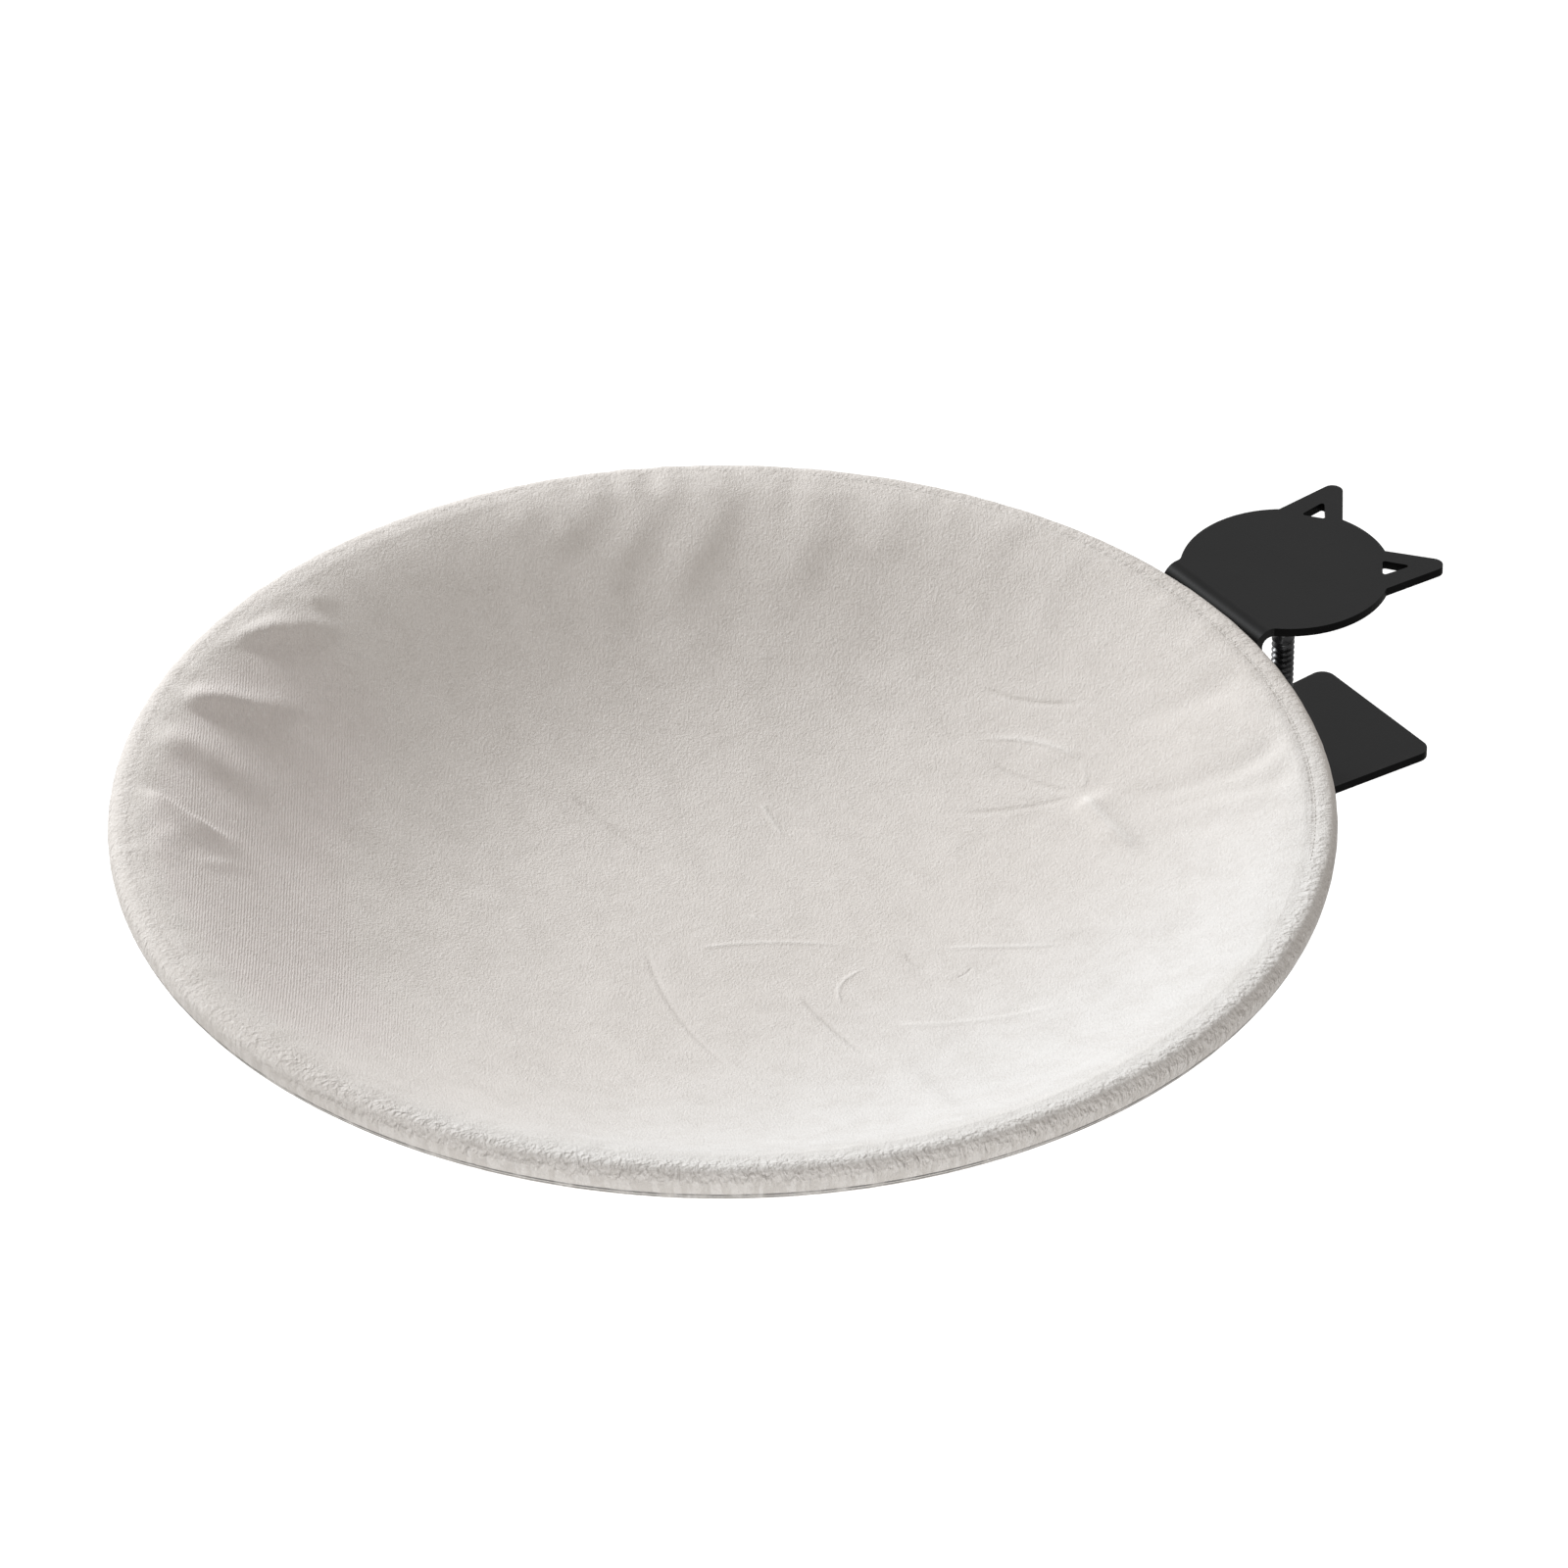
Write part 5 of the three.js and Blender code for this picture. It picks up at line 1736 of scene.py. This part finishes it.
@dataclass
class WeldBead:
    """Ripple-faced fillet weld round the nut under the lower jaw."""

    size: float = 1.5 * MM
    ripples: int = 58
    ripple_share: float = 0.12
    rounding: float = 0.25
    out: float = 0.35
    down: float = 0.2
    columns: int = 348
    rows: int = 10

    def build(self) -> bpy.types.Object:
        """A ring whose section is a circle in the corner between nut and jaw.

        Its path is the nut's hexagon, flat / cos(a) at angle a from the middle of each flat, blended with a circle
        to round its corners. The section's radius swells and falls by a tenth with each ripple.
        """
        _, (corner, _, jaw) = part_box("bracket_weld_nut")
        flat = corner * math.cos(math.radians(30))
        angle = turns(self.columns)
        hexagon = flat / np.cos(angle % (np.pi / 3) - np.pi / 6)
        path = (1 - self.rounding) * hexagon + self.rounding * (flat + corner) / 2
        section = np.radians(np.linspace(0, 360, self.rows, endpoint=False))
        swell = self.size / 2 * (1 + self.ripple_share * np.abs(np.sin(self.ripples / 2 * angle)))
        radius = path + swell * self.out + np.multiply.outer(np.cos(section), swell)
        height = jaw - self.down * self.size + np.multiply.outer(np.sin(section), swell)
        points = np.stack([radius * np.cos(angle), radius * np.sin(angle), height], axis=-1)
        return new_piece(grid_mesh("nut_weld", points, closed=True), COAT, Body.FIXED)


@dataclass
class ClampScrew:
    """The long clamp screw with its rolled thread, neck and ball."""

    crest: float = 4.0 * MM
    pitch: float = 2.3 * MM
    thread_depth: float = 1.15 * MM
    groove_slope: float = 1.25
    groove_flat: float = 0.12
    run_out: float = 1.2
    rows_each_turn: int = 10
    columns: int = 48
    neck: float = 2.5 * MM
    neck_step: float = 0.5 * MM
    ball: float = 4.2 * MM
    ball_end: float = 86.0
    neck_length: float = 4 * MM
    chamfer: float = 1.0 * MM
    sharp: float = 48.0

    def groove(self, heights: np.ndarray, angle: np.ndarray) -> np.ndarray:
        """How far the thread cuts in: a rounded triangle wave of height / pitch - angle / turn, from 0 to 1.

        It runs out over the last turn or so of the shaft.

        Args:
            heights: The rows' heights, up to the shaft's top.
            angle: The columns' angles.

        Returns:
            The share of the thread's depth, rows by columns.
        """
        phase = heights[:, None] / self.pitch - angle / (2 * np.pi)
        wave = 2 * np.abs(phase - np.floor(phase) - 0.5)
        groove = np.clip(self.groove_slope * (1 - wave) - self.groove_flat, 0, 1)
        return groove * climb(heights[-1] - heights, 0, self.run_out * self.pitch)[:, None]

    def build(self) -> bpy.types.Object:
        """Shaft, neck and ball as one surface turned about Z.

        On the shaft the radius is the crest less the thread's depth times the groove, which makes the helix. The
        chamfer caps the radius at the lower end.
        """
        low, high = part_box("clamp_screw")
        ball_middle = high[2] - self.ball
        meet = math.degrees(math.asin(self.neck / self.ball)) - 90
        shaft_top = ball_middle - self.ball - self.neck_length - (self.crest - self.neck)
        neck_start = shaft_top + self.crest - self.neck
        count = int((shaft_top - low[2]) / self.pitch * self.rows_each_turn)
        heights = np.linspace(low[2], shaft_top, count + 1)
        cap = np.minimum(self.crest, self.crest - self.chamfer + (heights - low[2]))
        angle = turns(self.columns)
        room = np.clip(cap - (self.crest - self.thread_depth), 0, None)[:, None]
        cut = -np.minimum(self.thread_depth * self.groove(heights, angle), room)
        head = np.concatenate(
            [
                [[self.neck, neck_start], [self.neck, neck_start + self.neck_step]],
                arc((0, ball_middle), self.ball, meet, self.ball_end, 14),
            ]
        )
        profile = np.concatenate([np.stack([cap, heights], axis=-1), head])
        spin = np.concatenate([cut, np.zeros((len(head), self.columns))])
        poles = ((0, 0, low[2]), (0, 0, high[2]))
        mesh = grid_mesh("threaded_screw", turned_points(profile, angle, spin), poles=poles)
        mesh.set_sharp_from_angle(angle=math.radians(self.sharp))
        return new_piece(mesh, BLACK_STEEL, Body.SCREW, "clamp_screw")


@dataclass
class Foot:
    """The pressed foot on the ball, with its rubber."""

    plate: float = 2.5 * MM
    socket: float = 7.5 * MM
    socket_wall: float = 1.5 * MM
    ball_room: float = 4.5 * MM
    lip: float = 3.2 * MM
    rim_height: float = 1.2 * MM
    rim_width: float = 1.4 * MM
    rim_edge: float = 0.4 * MM
    edge: float = 0.6 * MM
    groove_at: float = 0.72
    groove: float = 0.45 * MM

    def build(self) -> list[bpy.types.Object]:
        """The cup and its rubber, both turned about Z."""
        return [self.cup(), self.pad()]

    def cup(self) -> bpy.types.Object:
        """The pressed cup: a socket closed round the ball, and a plate with a raised rim."""
        low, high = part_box("foot_cup")
        radius = high[0]
        face = high[2] - self.rim_height
        under = face - self.plate
        ball_middle = face - self.socket_wall - self.ball_room
        lip_angle = -math.degrees(math.acos(self.lip / self.ball_room))
        e = self.edge
        profile = np.concatenate(
            [
                arc((0, ball_middle), self.ball_room, 90, lip_angle, 18),
                [[self.lip, low[2]]],
                arc((self.socket - e, low[2] + e), e, -90, 0, 4),
                arc((self.socket + e, under - e), e, 180, 90, 4),
                arc((radius - e, under + e), e, -90, 0, 4),
                arc((radius - self.rim_edge, high[2] - self.rim_edge), self.rim_edge, 0, 90, 3),
                [[radius - self.rim_width, high[2]], [radius - self.rim_width, face], [0, face]],
            ]
        )
        return turned_piece("pressed_foot", profile, BLACK_STEEL, Body.FOOT, "foot_cup")

    def pad(self) -> bpy.types.Object:
        """The rubber disc with a round groove in its face."""
        low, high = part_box("foot_rubber")
        wide, top = high[0], high[2]
        profile = np.concatenate(
            [
                [[0, low[2]], [wide, low[2]]],
                arc((wide - self.edge, top - self.edge), self.edge, 0, 90, 4),
                arc((self.groove_at * wide, top), self.groove, 0, -180, 6),
                [[0.5 * self.groove_at * wide, top], [0, top]],
            ]
        )
        return turned_piece("foot_pad", profile, RUBBER, Body.FOOT, "foot_rubber")


@dataclass
class HandKnob:
    """Fluted hand knob with its lock nut and cap."""

    lobes: int = 8
    flute: float = 4.5 * MM
    flute_depth: float = 1.6 * MM
    rounding: float = 1.6 * MM
    face_room: float = 0.6 * MM
    bore: float = 4.3 * MM
    well: float = 9.0 * MM
    well_depth: float = 8.0 * MM
    chamfer: float = 0.4 * MM
    nut_edge: float = 0.2 * MM
    cap_thickness: float = 1.5 * MM
    cap_edge: float = 0.4 * MM
    columns: int = 288
    sharp: float = 50.0

    def build(self) -> list[bpy.types.Object]:
        """The knob, the lock nut in its well and the cap over it."""
        nut = eased_copy("lock_nut", "knob_lock_nut", ZINC, Body.SCREW, self.nut_edge)
        return [self.knob(), nut, self.cap()]

    def press(self, radius: float, angle: np.ndarray) -> np.ndarray:
        """How far the flutes press in the knob's side, below 0.

        A flute is a circle of radius f whose middle stands c from the axis, so at angle a from it the edge is at
        c cos a - sqrt(f*f - (c sin a)**2). The step to the lobe is softened over three columns.

        Args:
            radius: The knob's radius.
            angle: The columns' angles.

        Returns:
            The press at each angle.
        """
        each = 2 * np.pi / self.lobes
        from_flute = angle % each - each / 2
        middle = radius + self.flute - self.flute_depth
        reach = np.clip(self.flute**2 - (middle * np.sin(from_flute)) ** 2, 0, None)
        edge = np.where(reach > 0, middle * np.cos(from_flute) - np.sqrt(reach), radius)
        press = np.minimum(edge - radius, 0)
        return (np.roll(press, 1) + 2 * press + np.roll(press, -1)) / 4

    def knob(self) -> bpy.types.Object:
        """The knob's outline carried round Z, with flutes that press its side in and its faces less so."""
        low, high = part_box("clamp_knob")
        radius, bottom, top = high[0], low[2], high[2]
        angle = turns(self.columns)
        r, c = self.rounding, self.chamfer
        inner = radius - r - self.flute_depth - self.face_room
        ceiling = bottom + self.well_depth
        profile = np.concatenate(
            [
                [[self.well, ceiling], [self.well, bottom + c], [self.well + c, bottom], [inner, bottom]],
                arc((radius - r, bottom + r), r, -90, 0, 6),
                arc((radius - r, top - r), r, 0, 90, 6),
                [[inner, top], [self.bore + c, top], [self.bore, top - c], [self.bore, ceiling]],
            ]
        )
        weight = climb(profile[:, 0], inner, radius - r - inner)
        points = turned_points(profile, angle, weight[:, None] * self.press(radius, angle))
        mesh = grid_mesh("fluted_knob", points, closed=True)
        mesh.set_sharp_from_angle(angle=math.radians(self.sharp))
        return new_piece(mesh, PLASTIC, Body.SCREW, "clamp_knob")

    def cap(self) -> bpy.types.Object:
        """The cap, slightly domed below: its height rises with the square of the share of its radius."""
        low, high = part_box("knob_cap")
        wide = high[0]
        shoulder = high[2] - self.cap_thickness
        dome = np.linspace(0, wide - self.cap_edge, 12)
        crown = low[2] + (shoulder - low[2]) * (dome / wide) ** 2
        profile = np.concatenate(
            [
                np.stack([dome, crown], axis=-1),
                arc((wide - self.cap_edge, shoulder + self.cap_edge), self.cap_edge, -70, 0, 4),
                [[wide, high[2]], [0, high[2]]],
            ]
        )
        return turned_piece("well_cap", profile, PLASTIC, Body.SCREW, "knob_cap")


# Studio.


@dataclass(frozen=True)
class Lamp:
    """A round soft lamp aimed at the hoop, under which a white surface that faces it shows at the given level."""

    name: str
    turn: float
    rise: float
    distance: float
    size: float
    level: float
    colour: Colour = (0.975, 1.0, 1.02)


@dataclass
class Studio:
    """Pale floor, soft key lamp, even surroundings and the camera at the photograph's angle."""

    hoop: HoopPlace
    camera_turn: float = 53.92
    camera_rise: float = 35.64
    camera_distance: float = 4.390
    lens: float = 299.6
    sensor: float = 36.0
    far: float = 60.0
    shift: Pair = (0.0395, 0.0225)
    floor_drop: float = 0.75
    floor_size: float = 24.0
    floor_lines: int = 9
    lamps: tuple[Lamp, ...] = (
        Lamp("key", 279.0, 26.0, 2.6, 0.6, 0.93),
        Lamp("fill", 50.0, -17.0, 2.0, 1.6, 0.7),
    )
    even_light: float = 0.47
    even_colour: Colour = (1.0, 0.965, 0.925)

    def aim(self, thing: bpy.types.Object, turn: float, rise: float, distance: float) -> None:
        """Puts a lamp or camera round the hoop's middle and points it there.

        It stands in the direction (sin t cos r, -cos t cos r, sin r) for the turn t and the rise r.

        Args:
            thing: The lamp or camera.
            turn: Degrees round Z, 0 at -Y and 90 at +X.
            rise: Degrees above the level.
            distance: How far away it stands.
        """
        t, r = math.radians(turn), math.radians(rise)
        away = Vector((math.sin(t) * math.cos(r), -math.cos(t) * math.cos(r), math.sin(r)))
        thing.location = Vector(self.hoop.centre) + away * distance
        thing.rotation_euler = away.to_track_quat("Z", "Y").to_euler()

    def build(self) -> None:
        """Makes camera, lamps, floor and world."""
        bpy.context.scene.view_settings.view_transform = "Standard"
        self.camera()
        for lamp in self.lamps:
            self.light(lamp)
        self.floor()
        self.surroundings()

    def camera(self) -> None:
        """The scene's camera, at the photograph's angle."""
        data = bpy.data.cameras.new("camera")
        data.lens = self.lens
        data.sensor_width = self.sensor
        data.shift_x, data.shift_y = self.shift
        data.clip_end = self.far
        camera = put("camera", data)
        self.aim(camera, self.camera_turn, self.camera_rise, self.camera_distance)
        bpy.context.scene.camera = camera

    def light(self, lamp: Lamp) -> None:
        """One lamp.

        Args:
            lamp: Where it stands, how large and how bright it is.
        """
        data = bpy.data.lights.new(lamp.name, "AREA")
        data.shape = "DISK"
        data.size = lamp.size
        data.energy = lamp.level * math.pi**2 * lamp.distance**2
        data.color = lamp.colour
        self.aim(put(lamp.name, data), lamp.turn, lamp.rise, lamp.distance)

    def floor(self) -> None:
        """A flat square below the hoop, which belongs to the stage."""
        line = np.linspace(-self.floor_size / 2, self.floor_size / 2, self.floor_lines)
        x, y = np.meshgrid(line, line)
        points = np.stack([x, y, np.full_like(x, self.hoop.centre[2] - self.floor_drop)], axis=-1)
        floor = put("floor", grid_mesh("floor", points, around=False))
        floor.data.materials.append(FLOOR.make())

    def surroundings(self) -> None:
        """A world that lights evenly and is white where it is seen."""
        world = bpy.data.worlds.new("surroundings")
        bpy.context.scene.world = world
        tree = ShaderTree(world)
        seen = tree.seen()
        tint = tree.mix(seen, self.even_colour, (1.0, 1.0, 1.0))
        strength = seen.ramp(0.0, 1.0, self.even_light, 1.0)
        sky = tree.node("ShaderNodeBackground", None, {"Color": tint, "Strength": strength})
        tree.output(sky, "ShaderNodeOutputWorld")


def main() -> None:
    """Builds the hammock, its clamp and the studio, and reports each piece."""
    logging.basicConfig(level=logging.INFO, format="%(message)s")
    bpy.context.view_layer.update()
    hoop = HoopPlace.of_frame()
    Studio(hoop).build()

    bowl = BowlShape(hoop)
    sling = SlingCloth(bowl, Settling(bowl))
    cloth, points = sling.build()
    fine = {"stitch": 1.7 * MM, "gap": 0.6 * MM, "thickness": 0.45 * MM}
    seams = [
        StitchRow("channel_stitches", sling.row_of_seam(), sling.seam_span, **fine),
        StitchRow("hem_stitches", sling.row_of_hem()),
    ]
    sewn = [row.build(points) for row in seams]
    sling.flat
    math.pi * (sling.flat[0] / 2) ** 2
    pieces = [cloth, *sewn, HoopBar(hoop).build(), *Bracket().build(), JawPad().build(), WeldBead().build()]
    pieces += [ClampScrew().build(), *Foot().build(), *HandKnob().build()]
    for piece in pieces:
        log.info("%s: %d faces", piece.name, len(piece.data.polygons))


if __name__ == "__main__":
    main()
